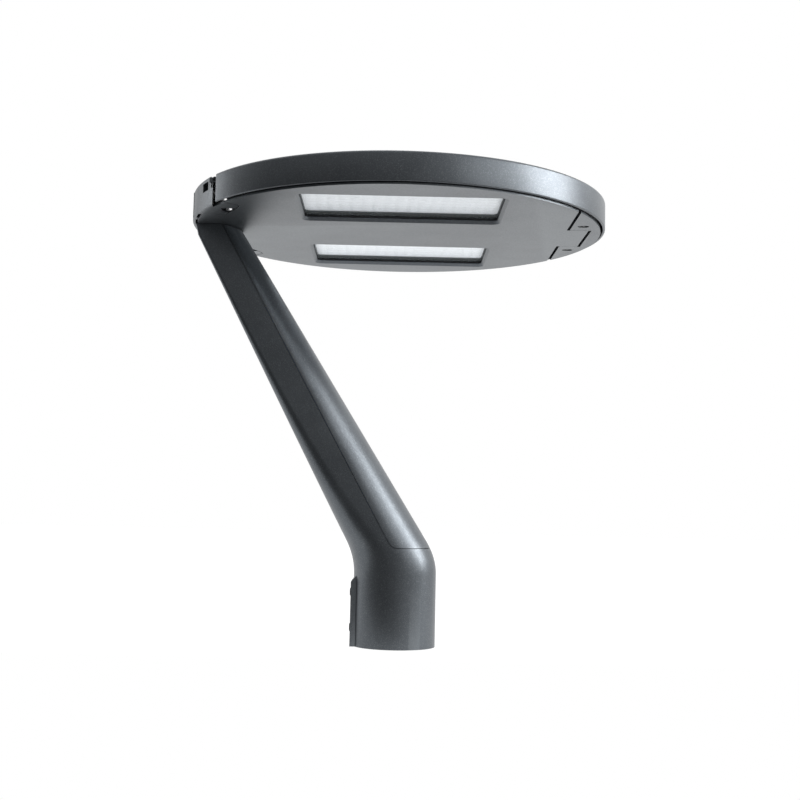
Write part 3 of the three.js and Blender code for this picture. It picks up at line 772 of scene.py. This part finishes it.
# head: the fixed base
base = {
    "plateT": 2.2,
    "tubR": 240,
    "tubWall": 2.5,
    "tubTop": 23,
    "tubRear": -172,
    "tubFront": 196,
    "windowX": 2,
    "windowY": 130.5,
    "windowL": 232,
    "windowW": 127,
    "bevel": 3.4,           # depth of the windows' sloped edges
    "openingR": 10,
    "glandZ": 14,
    "ventY": 60,
    "wireX": -231,
}
boxSpots = [(-150, -46), (-150, 46), (-46, -46), (-46, 46), (140, 40), (180, -40)]
latch = {
    "back": 200,
    "step": 226,
    "half": 146,
    "tongue": 46,
    "gap": 3.6,
    "slotX": 216.5,
    "slotY": 67.5,
    "screwBack": 1.9,       # at rest a guide screw stands this far behind its slot's middle
    "thick": 3,
}


def circle(r, steps=roundSteps):
    return arcPoints(0, 0, r, 0, 360, steps)[:-1]


def sided(points, side):
    # the same outline on the near (-1) or the far (1) side
    return [(x, y * side) for x, y in points]


def tubShape(inset, low, high):
    rear, front = base["tubRear"] + inset, base["tubFront"] - inset
    keep = [(rear, -150), (rear + 22, -190), (0, -300), (front, -300), (front, 300), (0, 300),
            (rear + 22, 190), (rear, 150)]
    return common(prism(circle(base["tubR"] - inset), low, high), prism(keep, low - 1, high + 1))


def windowRing(side, grow, r):
    return roundedRect(base["windowX"], side * base["windowY"], base["windowL"] + grow * 2,
                       base["windowW"] + grow * 2, r)


def windowBlock(side, grow, r, low, high):
    return prism(windowRing(side, grow, r), low, high)


def windowOpening(side):
    b, r = base["bevel"], base["openingR"]
    rings = [(-1, 0, r), (0, 0, r), (b, -b, r - b), (b + 2, -b, r - b)]
    return skinned([[(x, y, z) for x, y in windowRing(side, grow, r)] for z, grow, r in rings])


def footOutline(side, inset):
    rear = -200 - inset
    points = [(-260, 88.5 + inset), (rear, 88.5 + inset, 1.5), (-197 - inset, 96, 6), (-187 - inset, 114, 12),
              (-181 - inset, 129, 8), (-181 - inset, 136 - inset), (-196.5 - inset, 151 - inset),
              (-260, 151 - inset)]
    return sided(softened(points), side)


def latchOutline(inset):
    back, step = latch["back"] + inset, latch["step"] + inset
    wide, narrow = latch["half"], latch["tongue"] + (0.5 if inset else 0)
    return [(back, -wide), (back, -narrow), (step, -narrow), (step, narrow), (back, narrow), (back, wide),
            (300, wide), (300, -wide)]


def makeBase():
    plateT, tubRear, wireX = base["plateT"], base["tubRear"], base["wireX"]
    plate = prism(circle(plateR), 0, plateT)
    wall = carved(tubShape(0, plateT - 1, base["tubTop"]),
                  tubShape(base["tubWall"], plateT - 1.6, base["tubTop"] + 1))
    root = common(block(-243, -187, -40, 40, 1, 10), prism(circle(plateR), 0, 20))
    rims = [windowBlock(side, 8, 18, plateT - 1, base["bevel"] + 0.5) for side in (-1, 1)]
    posts = [rod((x, y, 1), (x, y, 9), 4.6, 40, endR=4) for x, y in boxSpots]
    ribs = [block(-191, -170.5, y - 1.2, y + 1.2, 1.1, 9) for y in (-30, 30)]
    shape = joined(plate, wall, root, *rims, *posts, *ribs)
    cuts = [prism(latchOutline(0), -1, 4)]
    cuts += [prism(footOutline(side, 0), -1, plateT + 0.1) for side in (-1, 1)]
    cuts += [windowOpening(side) for side in (-1, 1)]
    cuts += [rod((x, y, -1), (x, y, 12), arm["boltR"]) for x, y in screwSpots]
    cuts += [rod((wireX, 0, -1), (wireX, 0, 12), arm["wireR"], 48)]
    cuts += [rod((tubRear - 2, y, base["glandZ"]), (tubRear + 5, y, base["glandZ"]), r, 40)
             for y, r in ((0, 6.3), (base["ventY"], 4.3))]
    cuts += [rod((x, y, 4), (x, y, 10), 1.6) for x, y in boxSpots]
    makePiece("head_base", carved(shape, *cuts), "lamp", coat, ["base_casting"], soft=0.15, steps=1)


def makeTubSeal():
    low, high = base["tubTop"] + 0.3, 27.8
    shape = carved(tubShape(0.1, low, high), tubShape(base["tubWall"] + 0.9, low - 1, high + 1))
    makePiece("lid_gasket", shape, "lamp", rubber, ["tub_gasket"], soft=0.8)


def makeArmScrews():
    for i, (x, y) in enumerate(screwSpots):
        shape = joined(rod((x, y, -7), (x, y, 11), 2.95), rod((x, y, 10.3), (x, y, 16), 5, 40))
        shape = carved(shape, rod((x, y, 13), (x, y, 17), 2.5, 6))
        makePiece(f"arm_bolt_{i + 1}", shape, "lamp", steel, [f"arm_screw_{i + 1}"], soft=0.4)


makeBase()
makeTubSeal()
makeArmScrews()
print("base made")


# head: rear cap and hinge blocks, which stay with the arm
rear = {
    "front": -210.5,
    "capHalf": 88,
    "seam": 0.5,
    "blockHalf": 137.5,
    "hingeX": -208.5,
    "hingeZ": 29.5,
    "knuckleR": 3.2,
    "boreR": 1.9,
    "pinR": 1.6,
    "pinEnds": (92.5, 134),
    "lugs": ((92, 104), (120.5, 133.5)),    # fixed knuckles, by distance from the middle
    "leafKnuckle": (104.8, 119.7),
    "leaf": (96, 129),
    "leafZ": (24.8, 27.8),
    "leafScrewX": -186,
}
rimSoft = {"lower": 1.1, "upper": 3}


def rimProfile(r, low, high):
    # soft lower and upper edges, from the bottom up
    s, t = rimSoft["lower"], rimSoft["upper"]
    quarter = math.pi / 2
    lower = [(r - s + s * math.sin(a), low + s - s * math.cos(a)) for a in (0, 0.4, 0.8, 1.2, quarter)]
    upper = [(r - t + t * math.cos(a), high - t + t * math.sin(a)) for a in (0, 0.3, 0.6, 0.9, 1.25, quarter)]
    return lower + upper


def rimSolid(low, high):
    return turned([(0, low)] + rimProfile(headR, low, high) + [(0, high)])


def rearGroove():
    front = rear["front"]
    points = [(front - 3.5, rimTop + 1), (front - 3.5, rimTop), (front + 1, rimTop - 6),
              (front + 1, rimTop + 1)]
    return sidePrism(points, -150, 150)


def makeRearCap():
    front, half = rear["front"], rear["capHalf"]
    shell = carved(rimSolid(rimLow, rimTop), prism(circle(headR - 3), 0, rimTop - 3))
    feet = [block(-244, -236, y - 5, y + 5, rimLow + 0.4, rimTop - 2) for y in (-52, 52)]
    wall = block(front - 2.5, front, -half, half, 22, rimTop - 0.1)
    shell = common(shell, block(-260, front, -half, half, 0, rimTop + 1))
    shape = carved(joined(shell, *feet, wall), rearGroove())
    makePiece("rear_rim_cap", shape, "lamp", coat, ["rear_cap"], soft=0.3)


def between(side, low, high):
    return (low, high) if side > 0 else (-high, -low)


def hingeRod(side, low, high, r, sides=40):
    start, end = between(side, low, high)
    return rod((rear["hingeX"], start, rear["hingeZ"]), (rear["hingeX"], end, rear["hingeZ"]), r, sides)


def hingeBore(side):
    return hingeRod(side, 88, 140, rear["boreR"], 32)


def sidePocket(side):
    pocket = prism(roundedRect(0, 0, 10, 17.6, 1.6, 5), headR - 13, headR + 5)
    lie = Matrix.Rotation(math.radians(180 - side * 27.7), 4, "Z") @ Matrix.Translation((0, 0, 24.5))
    bmesh.ops.transform(pocket, matrix=lie @ Matrix.Rotation(math.pi / 2, 4, "Y"), verts=pocket.verts)
    return pocket


def toolSlot(side):
    points = [(-203, 119)] + arcPoints(-194, 107, 9, 180, 360, 20) + [(-185, 119)]
    return prism(sided(points, side), -1, 3)


def makeHingeBlock(name, mirrored):
    # made for the near side, and mirrored for the far one
    front, side = rear["front"], -1
    hingeX, hingeZ, lugs = rear["hingeX"], rear["hingeZ"], rear["lugs"]
    low, high = between(side, rear["capHalf"] + rear["seam"], rear["blockHalf"])
    foot = common(prism(footOutline(side, 0.9), 0, base["plateT"]), prism(circle(plateR), -1, 4))
    inside = common(block(-240, front + 1, low + 4, high - 4, base["plateT"], 16),
                    prism(circle(headR - 6), 0, 20))
    shape = common(rimSolid(0, rimTop), block(-260, front, low, high, -1, rimTop + 1))
    shape = joined(carved(shape, inside), foot)
    start, end = between(side, lugs[0][0] - 1, lugs[1][1] + 0.7)
    shape = carved(shape, block(front - 2.4, front + 1, start, end, 20, 40), rearGroove())
    arms = []
    for near, far in lugs:
        a, b = between(side, near, far)
        arms.append(block(front - 4, hingeX, a, b, hingeZ - 3.2, hingeZ + 2.2))
        arms.append(hingeRod(side, near, far, rear["knuckleR"]))
    shape = carved(joined(shape, *arms), hingeBore(side), sidePocket(side), toolSlot(side))
    if mirrored:
        mirroredY(shape)
    makePiece("hinge_corner_" + name, shape, "lamp", coat, ["hinge_block_" + name], soft=0.3)


def makeHingeLeaf(name, side):
    start, end = between(side, *rear["leaf"])
    a, b = between(side, *rear["leafKnuckle"])
    low, high = rear["leafZ"]
    x, screwYs = rear["leafScrewX"], (start + 8, end - 8)
    plate = prism(roundedRect(x - 3, (start + end) / 2, 22, end - start, 3), low, high)
    strip = block(rear["hingeX"], -199, a, b, low, high)
    heads = [rod((x, y, low - 1.4), (x, y, low + 0.1), 2.6, 32, endR=3.2) for y in screwYs]
    shape = joined(plate, strip, hingeRod(side, *rear["leafKnuckle"], rear["knuckleR"]), *heads)
    sockets = [rod((x, y, low - 1.8), (x, y, low - 0.5), 1.3, 6) for y in screwYs]
    shape = carved(shape, hingeBore(side), *sockets)
    makePiece("hinge_strap_" + name, shape, "lid", blackAlloy, ["hinge_leaf_" + name],
              soft=0.3)


def makeHingePin(name, side):
    shape = hingeRod(side, *rear["pinEnds"], rear["pinR"])
    makePiece("hinge_axle_" + name, shape, "lamp", darkSteel, ["hinge_pin_" + name], soft=0.3)


makeRearCap()
for name, side in (("near", -1), ("far", 1)):
    makeHingeBlock(name, side > 0)
    makeHingeLeaf(name, side)
    makeHingePin(name, side)
print("rear pieces made")


# head: the lid with the solar panel
lid = {
    "skirt": 3,         # thickness of the rim
    "deckLow": 28.1,
    "deckTop": 31.1,
    "wellR": 237.5,
    "panelR": 234.5,
    "rearBar": 9,
    "leadX": 60,
}


def chordPoints(r, x):
    # the part of a circle ahead of a chord
    a = math.degrees(math.acos(x / r))
    return arcPoints(0, 0, r, -a, a, roundSteps)


def panelBlock(r, rearX, low, high):
    return prism(chordPoints(r, rearX), low, high)


def makeLid():
    inR, low, top, wellR = headR - lid["skirt"], lid["deckLow"], lid["deckTop"], lid["wellR"]
    profile = [(0, low), (inR - 3, low), (inR - 0.9, low - 0.9), (inR, low - 3), (inR, rimLow + 0.5),
               (inR + 0.5, rimLow)]
    profile += rimProfile(headR, rimLow, rimTop)
    profile += [(wellR + 0.5, rimTop), (wellR, rimTop - 0.5), (wellR, top), (0, top)]
    x, chamfer = coverRearX, 1.2
    a = math.degrees(math.acos((x + lid["rearBar"]) / (wellR + 1)))
    bar = prism(arcPoints(0, 0, wellR + 1, a, 360 - a, 60), top - 1, rimTop)
    shape = joined(turned(profile), bar)
    edge = [(x - 1, rimTop + 1), (x + chamfer, rimTop + 1), (x + chamfer, rimTop), (x, rimTop - chamfer),
            (x - 1, rimTop - chamfer)]
    cuts = [block(-300, x, -200, 200, -1, rimTop + 1), sidePrism(edge, -150, 150)]
    for side in (-1, 1):
        start, end = between(side, rear["lugs"][0][0] - 1, rear["lugs"][1][1] + 1)
        cuts.append(block(x - 1, x + 2.2, start, end, 20, 40))
    cuts.append(rod((lid["leadX"], 0, low - 1), (lid["leadX"], 0, top + 1), 6, 48))
    makePiece("lid_rim_and_deck", carved(shape, *cuts), "lid", coat, ["top_cover"], soft=0.3)


def makePanel():
    r, rearX, deck = lid["panelR"], coverRearX, lid["deckTop"]
    shape = carved(panelBlock(r + 2.6, rearX + lid["rearBar"] + 0.4, deck + 0.3, rimTop - 0.3),
                   panelBlock(r + 0.3, rearX + 11.6, deck, rimTop + 1))
    makePiece("panel_edge_seal", shape, "lid", rubber, ["panel_seal"], soft=0.5)
    sheet = panelBlock(r, rearX + 12, deck + 0.3, deck + 0.8)
    makePiece("panel_back_sheet", sheet, "lid", black, ["panel_laminate"], soft=0)
    glass = panelBlock(r, rearX + 12, deck + 1.5, rimTop - 0.2)
    makePiece("panel_cover_glass", glass, "lid", panelGlassSkin, ["panel_glass"], soft=0.5)


cells = {
    "x": 52.4,
    "y": 39.4,
    "gap": 2.2,
    "corner": 3.2,
    "edge": 226,
    "rear": -188,
    "top": 32.25,
    "barY": 9.8,
    "barHalf": 0.5,
}


def makeCells():
    # whole cells only, with two silver bars each
    tiles, bars = [], []
    stepX, stepY = cells["x"] + cells["gap"], cells["y"] + cells["gap"]
    halfX, halfY, c, top = cells["x"] / 2, cells["y"] / 2, cells["corner"], cells["top"]
    for i in range(-4, 5):
        for j in range(-6, 6):
            x, y = i * stepX + 4, (j + 0.5) * stepY
            if math.hypot(abs(x) + halfX, abs(y) + halfY) > cells["edge"] or x - halfX < cells["rear"]:
                continue
            x0, x1, y0, y1 = x - halfX, x + halfX, y - halfY, y + halfY
            outline = [(x0 + c, y0), (x1 - c, y0), (x1, y0 + c), (x1, y1 - c), (x1 - c, y1), (x0 + c, y1),
                       (x0, y1 - c), (x0, y0 + c)]
            tiles.append(prism(outline, top - 0.2, top))
            for barY in (y - cells["barY"], y + cells["barY"]):
                bars.append(block(x - stepX / 2, x + stepX / 2, barY - cells["barHalf"],
                                  barY + cells["barHalf"], top - 0.1, top + 0.08))
    makePiece("solar_cell_tiles", together(tiles), "lid", cellSkin, soft=0)
    makePiece("solar_cell_bars", together(bars), "lid", steel, soft=0)


def makeJunctionBox():
    x, low, high = lid["leadX"], 14.5, lid["deckLow"] - 0.3
    corners = [(x + i * 29, j * 20) for i in (-1, 1) for j in (-1, 1)]
    tall = prism(roundedRect(x, 0, 70, 52, 6), low + 3.5, high)
    cap = prism(roundedRect(x, 0, 69, 51, 5.6), low, low + 3.1)
    neck = prism(roundedRect(x, 0, 67.6, 49.6, 5), low + 1, low + 5)
    lead = rod((x + 34, 0, 22), (x + 41, 0, 22), 5, 24)
    shape = joined(tall, neck, cap, lead)
    sockets = [rod((sx, sy, low - 1), (sx, sy, low + 1.8), 2.4) for sx, sy in corners]
    makePiece("panel_wire_box", carved(shape, *sockets), "lid", black, ["junction_box"],
              soft=0.5)
    heads = [rod((sx, sy, low + 0.6), (sx, sy, low + 1.7), 2.1) for sx, sy in corners]
    makePiece("wire_box_screws", together(heads), "lid", steel, soft=0.3)


makeLid()
makePanel()
makeCells()
makeJunctionBox()
print("lid made")


# head: light windows
window = {"domePitch": 13, "domeR": 6.4, "domeHigh": 0.75, "domeLow": 11.5}
sink = {"finPitch": 24, "finT": 2.2, "finsEachWay": 4, "seatX": 108, "seatY": 55}


def windowFrameRing(side, grow, r, innerGrow, innerR, low, high):
    return carved(windowBlock(side, grow, r, low, high),
                  windowBlock(side, innerGrow, innerR, low - 1, high + 1))


def windowSpots(side):
    pitch = window["domePitch"]
    return [(base["windowX"] + i * pitch, side * base["windowY"] + j * pitch)
            for i in range(-8, 9) for j in range(-4, 5)]


def dome(x, y):
    # a shallow lens that bulges down towards the glass
    r, high = window["domeR"], window["domeHigh"]
    profile = [(0, -high), (r * 0.45, -high * 0.83), (r * 0.8, -high * 0.42), (r, 0), (0, 0)]
    bm = turned(profile, 12)
    bmesh.ops.translate(bm, verts=bm.verts, vec=(x, y, window["domeLow"] + 0.02))
    return bm


def makeWindow(name, side):
    b = base["bevel"]
    ring = windowFrameRing(side, 1, 12, -3, 7, b + 0.8, b + 3.3)
    makePiece("window_seal_" + name, ring, "lamp", rubber, ["window_gasket_" + name], soft=0.5)
    pane = windowBlock(side, 2, 13, b + 3.6, b + 6.6)
    makePiece("window_pane_" + name, pane, "lamp", windowGlassSkin, ["window_glass_" + name],
              soft=0.4)
    clamp = windowFrameRing(side, 6, 17, -3, 7, b + 6.9, b + 10.8)
    makePiece("window_clamp_" + name, clamp, "lamp", black, ["window_frame_" + name],
              soft=0.4)
    plate = windowBlock(side, -3.6, 6.4, window["domeLow"], b + 10.6)
    domes = together([dome(x, y) for x, y in windowSpots(side)])
    makePiece("lens_plate_" + name, plate, "lamp", acrylic, ["lens_array_" + name], soft=0.3)
    makePiece("lens_domes_" + name, domes, "lamp", acrylic, soft=0, limit=60)
    board = windowBlock(side, 0, base["openingR"], b + 11.1, b + 12.7)
    makePiece("light_board_" + name, board, "lamp", white, ["led_board_" + name], soft=0.2)


def makeHeatSink(name, side):
    b = base["bevel"]
    x, y, half = base["windowX"], side * base["windowY"], base["windowW"] / 2 - 8
    foot = windowBlock(side, 0, base["openingR"], b + 13, b + 16)
    fins = [prism(roundedRect(x + i * sink["finPitch"], y, sink["finT"], half * 2, 0.9, 3), b + 15, b + 21)
            for i in range(-sink["finsEachWay"], sink["finsEachWay"] + 1)]
    spots = [(x + i * sink["seatX"], y + j * sink["seatY"]) for i in (-1, 1) for j in (-1, 1)]
    seats = [rod((sx, sy, b + 15), (sx, sy, b + 17), 3.6) for sx, sy in spots]
    sockets = [rod((sx, sy, b + 16), (sx, sy, b + 18), 1.6, 6) for sx, sy in spots]
    shape = carved(joined(foot, *fins, *seats), *sockets)
    makePiece("heat_fins_" + name, shape, "lamp", alloy, ["heat_sink_" + name], soft=0.25)


for name, side in (("near", -1), ("far", 1)):
    makeWindow(name, side)
    makeHeatSink(name, side)
print("windows made")


# head: electrics in the tub
electrics = {
    "boxLow": 9.3,          # both boxes stand on posts
    "screwWayR": 2.1,
    "controllerX": -98,
    "controllerTop": 24,
    "footT": 2.3,
    "driverX": 160,
    "driverTop": 25,
    "plugX": 115,
}


def makeController():
    low, top, x = electrics["boxLow"], electrics["controllerTop"], electrics["controllerX"]
    footTop, spots = low + electrics["footT"], boxSpots[:4]
    body = prism(roundedRect(x, 0, 96, 84, 5), low, top - 4.2)
    neck = prism(roundedRect(x, 0, 94.4, 82.4, 4.4), low + 1, top - 2)
    cap = prism(roundedRect(x, 0, 96, 84, 5), top - 3.6, top)
    bridge = prism(roundedRect(x, 0, 112, 96, 4), low, footTop)
    ears = [prism(roundedRect(sx, sy, 12, 12, 4), low, footTop) for sx, sy in spots]
    ways = [rod((sx, sy, 9), (sx, sy, 12), electrics["screwWayR"]) for sx, sy in spots]
    grooves = [prism(roundedRect(x, y, 60, 1.6, 0.7, 3), top - 0.8, top + 1) for y in range(-28, 29, 8)]
    mouth = block(-147, -143, -30, 30, 13, 18)
    shape = carved(joined(body, neck, cap, bridge, *ears), *ways, *grooves, mouth)
    makePiece("charge_control_box", shape, "lamp", black, ["charge_controller"], soft=0.4)
    blocks = [block(-146.4, -142, y - 4, y + 4, 13.2, 17.8) for y in range(-25, 26, 10)]
    makePiece("charge_terminals", together(blocks), "lamp", green, soft=0.3)


def makeDriver():
    low, top, middle = electrics["boxLow"], electrics["driverTop"], electrics["driverX"]
    body = prism(roundedRect(middle, 0, 54, 100, 5), low, top)
    spots = boxSpots[4:]
    cuts = [rod((x, y, 9), (x, y, 26), electrics["screwWayR"]) for x, y in spots]
    cuts += [rod((x, y, 12), (x, y, 26), 4.6, 40) for x, y in spots]
    cuts += [prism(roundedRect(middle + i * 5, 0, 1.4, 64, 0.6, 3), top - 1, top + 1) for i in range(-2, 3)]
    cuts += [block(middle - 28, middle + 28, y - 0.35, y + 0.35, top - 0.6, top + 1) for y in (-46, 46)]
    makePiece("light_driver_case", carved(body, *cuts), "lamp", alloy, ["led_driver"],
              soft=0.4)


def makeBoxScrews():
    for i, (x, y) in enumerate(boxSpots):
        z = 11.6 if i < 4 else 12
        profile = [(0, 4.6), (0.8, 4.6), (1.25, 5.4), (1.25, z + 0.3), (3.3, z + 0.3), (3.3, z + 1.2),
                   (2.9, z + 1.9), (2, z + 2.3), (0, z + 2.4)]
        shape = turned(profile, 40)
        bmesh.ops.translate(shape, verts=shape.verts, vec=(x, y, 0))
        shape = carved(shape, rod((x, y, z + 1), (x, y, z + 4), 1.4, 6))
        makePiece(f"tub_screw_{i + 1}", shape, "lamp", steel, [f"box_screw_{i + 1}"], soft=0.15)


def makeGland():
    x, z, y = base["tubRear"], base["glandZ"], base["ventY"]
    nut = rod((x - 6, 0, z), (x - 0.3, 0, z), 8.4, 6)
    cap = joined(rod((x - 10, 0, z), (x - 5, 0, z), 6.6, 40),
                 rod((x - 13, 0, z), (x - 10, 0, z), 4.9, 40, endR=6.6))
    stem = rod((x - 5, 0, z), (x + 8, 0, z), 6, 40)
    shape = carved(joined(nut, cap, stem), rod((x - 20, 0, z), (x + 20, 0, z), 3.9, 32))
    makePiece("arm_cable_gland", shape, "lamp", black, ["cable_gland"], soft=0.3)
    head = joined(rod((x - 4, y, z), (x - 0.3, y, z), 6.5, 40), rod((x - 1, y, z), (x + 6, y, z), 4, 40))
    slots = [block(x - 5, x - 2.6, y - w, y + w, z - h, z + h) for w, h in ((0.5, 4), (4, 0.5))]
    makePiece("breather_plug", carved(head, *slots), "lamp", black, ["vent_plug"], soft=0.3)


def makeDisconnect():
    x = electrics["plugX"]
    holder = carved(prism(roundedRect(x, 0, 22, 24, 2), base["plateT"] + 0.3, 16),
                    prism(roundedRect(x, 0, 16, 16, 1.5), 8, 17))
    makePiece("lid_plug_socket", holder, "lamp", black, ["disconnect_socket"], soft=0.4)
    grip = prism(roundedRect(x, 0, 20, 20, 3), 16.4, lid["deckLow"] - 0.3)
    ridges = [block(x - 6, x + 6, y - 0.5, y + 0.5, 17.6 + k * 2, 18.6 + k * 2)
              for y in (-10, 10) for k in range(4)]
    plug = joined(prism(roundedRect(x, 0, 14.6, 14.6, 1), 9, 20), carved(grip, *ridges))
    makePiece("lid_plug", plug, "lid", black, ["disconnect_plug"], soft=0.3)
    blades = [block(x - 0.4, x + 0.4, y - 2, y + 2, 8.1, 9.4) for y in (-4, 4)]
    makePiece("lid_plug_blades", together(blades), "lid", steel, soft=0.1)


def tubeAlong(points, r, sides=20, steps=8):
    # a round tube through smoothed points
    points = [Vector(p) for p in points]
    ends = [points[0] * 2 - points[1]] + points + [points[-1] * 2 - points[-2]]
    path = []
    for a, b, c, d in zip(ends, ends[1:], ends[2:], ends[3:]):
        for k in range(steps):
            t = k / steps
            curve, twist = 2 * a - 5 * b + 4 * c - d, 3 * b - a - 3 * c + d
            path.append(0.5 * (2 * b + (c - a) * t + curve * t * t + twist * t ** 3))
    path.append(points[-1])
    rings = []
    turns = [k * math.tau / sides for k in range(sides)]
    side = Vector((0, 1, 0))
    for i, p in enumerate(path):
        ahead = path[min(i + 1, len(path) - 1)] - path[max(i - 1, 0)]
        up = ahead.cross(side).normalized()
        rings.append([p + side * (r * math.cos(a)) + up * (r * math.sin(a)) for a in turns])
    return skinned(rings)


def makeCable():
    x, end = base["wireX"], base["tubRear"]
    points = [(x + 6, 0, -22), (x + 1, 0, -12), (x, 0, 2), (x + 1, 0, 10), (x + 8, 0, 16), (x + 22, 0, 16.6),
              (end - 20, 0, 14.6), (end - 10, 0, base["glandZ"]), (end + 12, 0, base["glandZ"])]
    makePiece("arm_power_cable", tubeAlong(points, 3), "lamp", rubber, ["arm_cable"],
              soft=0, limit=60)


makeController()
makeDriver()
makeBoxScrews()
makeGland()
makeDisconnect()
makeCable()
print("electrics made")


# head: latch
def makeLatch():
    plate = common(prism(latchOutline(latch["gap"]), 0, latch["thick"]), prism(circle(plateR), -1, 4))
    cuts = []
    for side in (-1, 1):
        y = side * latch["slotY"]
        cuts.append(prism(roundedRect(latch["slotX"], y, 13, 9.4, 4.6), -1, 1.6))
        cuts.append(prism(roundedRect(latch["slotX"], y, 9.6, 5.6, 2.7), 1, 4))
    hook = sidePrism([(237, 2), (239.4, 2), (239.4, 8.2), (242.6, 8.2), (241.2, 11), (237, 11)], -16, 16)
    makePiece("latch_crescent", joined(carved(plate, *cuts), hook), "latch", coat, ["latch_plate"],
              soft=0.2, steps=1)


def makeLatchScrews():
    for name, side in (("near", -1), ("far", 1)):
        x, y = latch["slotX"] - latch["screwBack"], side * latch["slotY"]
        head = joined(rod((x, y, 0.3), (x, y, 1.3), 4, 40), rod((x, y, 1), (x, y, 3), 2.2))
        shape = carved(head, rod((x, y, 0), (x, y, 0.9), 1.7, 6))
        makePiece("latch_guide_screw_" + name, shape, "lamp", darkSteel, ["latch_screw_" + name],
                  soft=0.2)


def makeLatchInside():
    bridge = joined(prism(roundedRect(216, 0, 22, 170, 5), 3.3, 6), block(208, 223, -40, 40, 2.5, 4))
    x = latch["slotX"] - latch["screwBack"]
    nuts = [rod((x, y, 5.8), (x, y, 8), 4, 6) for y in (-latch["slotY"], latch["slotY"])]
    shape = joined(bridge, *nuts)
    makePiece("latch_guide_bar", shape, "lamp", alloy, ["latch_bracket"], soft=0.3)
    points = [(242.9, 5.4), (250, 5.4), (250, 16), (245, 16), (245, 7.8), (242.9, 7.8)]
    keeper = common(sidePrism(points, -14, 14), prism(circle(headR - lid["skirt"] - 0.4), 0, 20))
    makePiece("latch_catch", keeper, "lid", steel, ["latch_keeper"], soft=0.3)


makeLatch()
makeLatchScrews()
makeLatchInside()
print("latch made")


# studio
def addLight(name, at, aim, size, power, color=(1, 1, 1)):
    data = bpy.data.lights.new(name, "AREA")
    data.shape = "RECTANGLE"
    data.size, data.size_y = size
    data.energy = power
    data.color = color
    light = bpy.data.objects.new(name, data)
    light.location = at
    light.rotation_euler = (Vector(aim) - Vector(at)).to_track_quat("-Z", "Y").to_euler()
    bpy.context.scene.collection.objects.link(light)


def addFloor():
    bm = bmesh.new()
    bmesh.ops.create_grid(bm, x_segments=1, y_segments=1, size=1)
    bmesh.ops.scale(bm, verts=bm.verts, vec=studio["floorSize"])
    bmesh.ops.translate(bm, verts=bm.verts, vec=studio["floorAt"])
    mesh = bpy.data.meshes.new("floor")
    bm.to_mesh(mesh)
    bm.free()
    floor = bpy.data.objects.new("floor", mesh)
    bpy.context.scene.collection.objects.link(floor)
    material, *_, shader = newSkin("floor_paper")
    shader.inputs["Base Color"].default_value = (0.12, 0.12, 0.12, 1)
    shader.inputs["Roughness"].default_value = 0.9
    shader.inputs["Specular IOR Level"].default_value = 0.1
    shader.inputs["Emission Color"].default_value = (1, 1, 1, 1)
    shader.inputs["Emission Strength"].default_value = studio["floorGlow"]
    mesh.materials.append(material)


studio = {
    "floorSize": (4, 3, 1),
    "floorAt": (0, 2.87, -0.001),
    "floorGlow": 0.97,
    "front": 0.12,      # the dark side, behind the camera
    "back": 0.75,
    "right": 0.40,
    "top": 0.45,
}


def addWorld():
    # pale all round to the eye; as light it is dark in front and bright at the back and the right
    world = bpy.data.worlds.new("studio")
    bpy.context.scene.world = world
    world.use_nodes = True
    nodes, links = world.node_tree.nodes, world.node_tree.links
    nodes.clear()
    out = nodes.new("ShaderNodeOutputWorld")
    where = nodes.new("ShaderNodeTexCoord")
    axes = nodes.new("ShaderNodeSeparateXYZ")
    links.new(where.outputs["Generated"], axes.inputs[0])
    depth = spread(nodes, links, axes.outputs["Y"], studio["front"], studio["back"], -0.1, 0.8)
    cross = spread(nodes, links, axes.outputs["X"], 0, studio["right"], -0.4, 0.8)
    above = spread(nodes, links, axes.outputs["Z"], 0, studio["top"], 0.1, 0.8)
    level = nodes.new("ShaderNodeMath")
    links.new(depth, level.inputs[0])
    links.new(cross, level.inputs[1])
    total = nodes.new("ShaderNodeMath")
    links.new(level.outputs[0], total.inputs[0])
    links.new(above, total.inputs[1])
    glow = nodes.new("ShaderNodeBackground")
    links.new(total.outputs[0], glow.inputs["Strength"])
    paper = nodes.new("ShaderNodeBackground")
    paper.inputs["Strength"].default_value = 1.0
    seen = nodes.new("ShaderNodeLightPath")
    pick = nodes.new("ShaderNodeMixShader")
    links.new(seen.outputs["Is Camera Ray"], pick.inputs[0])
    links.new(glow.outputs[0], pick.inputs[1])
    links.new(paper.outputs[0], pick.inputs[2])
    paper.inputs["Color"].default_value = (1, 1, 1, 1)
    glow.inputs["Color"].default_value = (1, 1, 1, 1)
    links.new(pick.outputs[0], out.inputs[0])


addFloor()
addWorld()
addLight("right_softbox", (2.3, -0.3, 1.1), (0, 0, 0.35), (1.2, 1.2), 52)
addLight("front_right_softbox", (1.5, -1.45, 1.1), (0, 0, 0.4), (1.0, 0.8), 5)
addLight("left_strip", (-2.0, 0.9, 0.7), (0, 0, 0.3), (0.3, 1.2), 5)
addLight("top_softbox", (0.2, 0.9, 2.6), (0, 0, 0.4), (2.0, 2.0), 8)
bpy.context.scene.view_settings.view_transform = "Standard"
print("studio made")
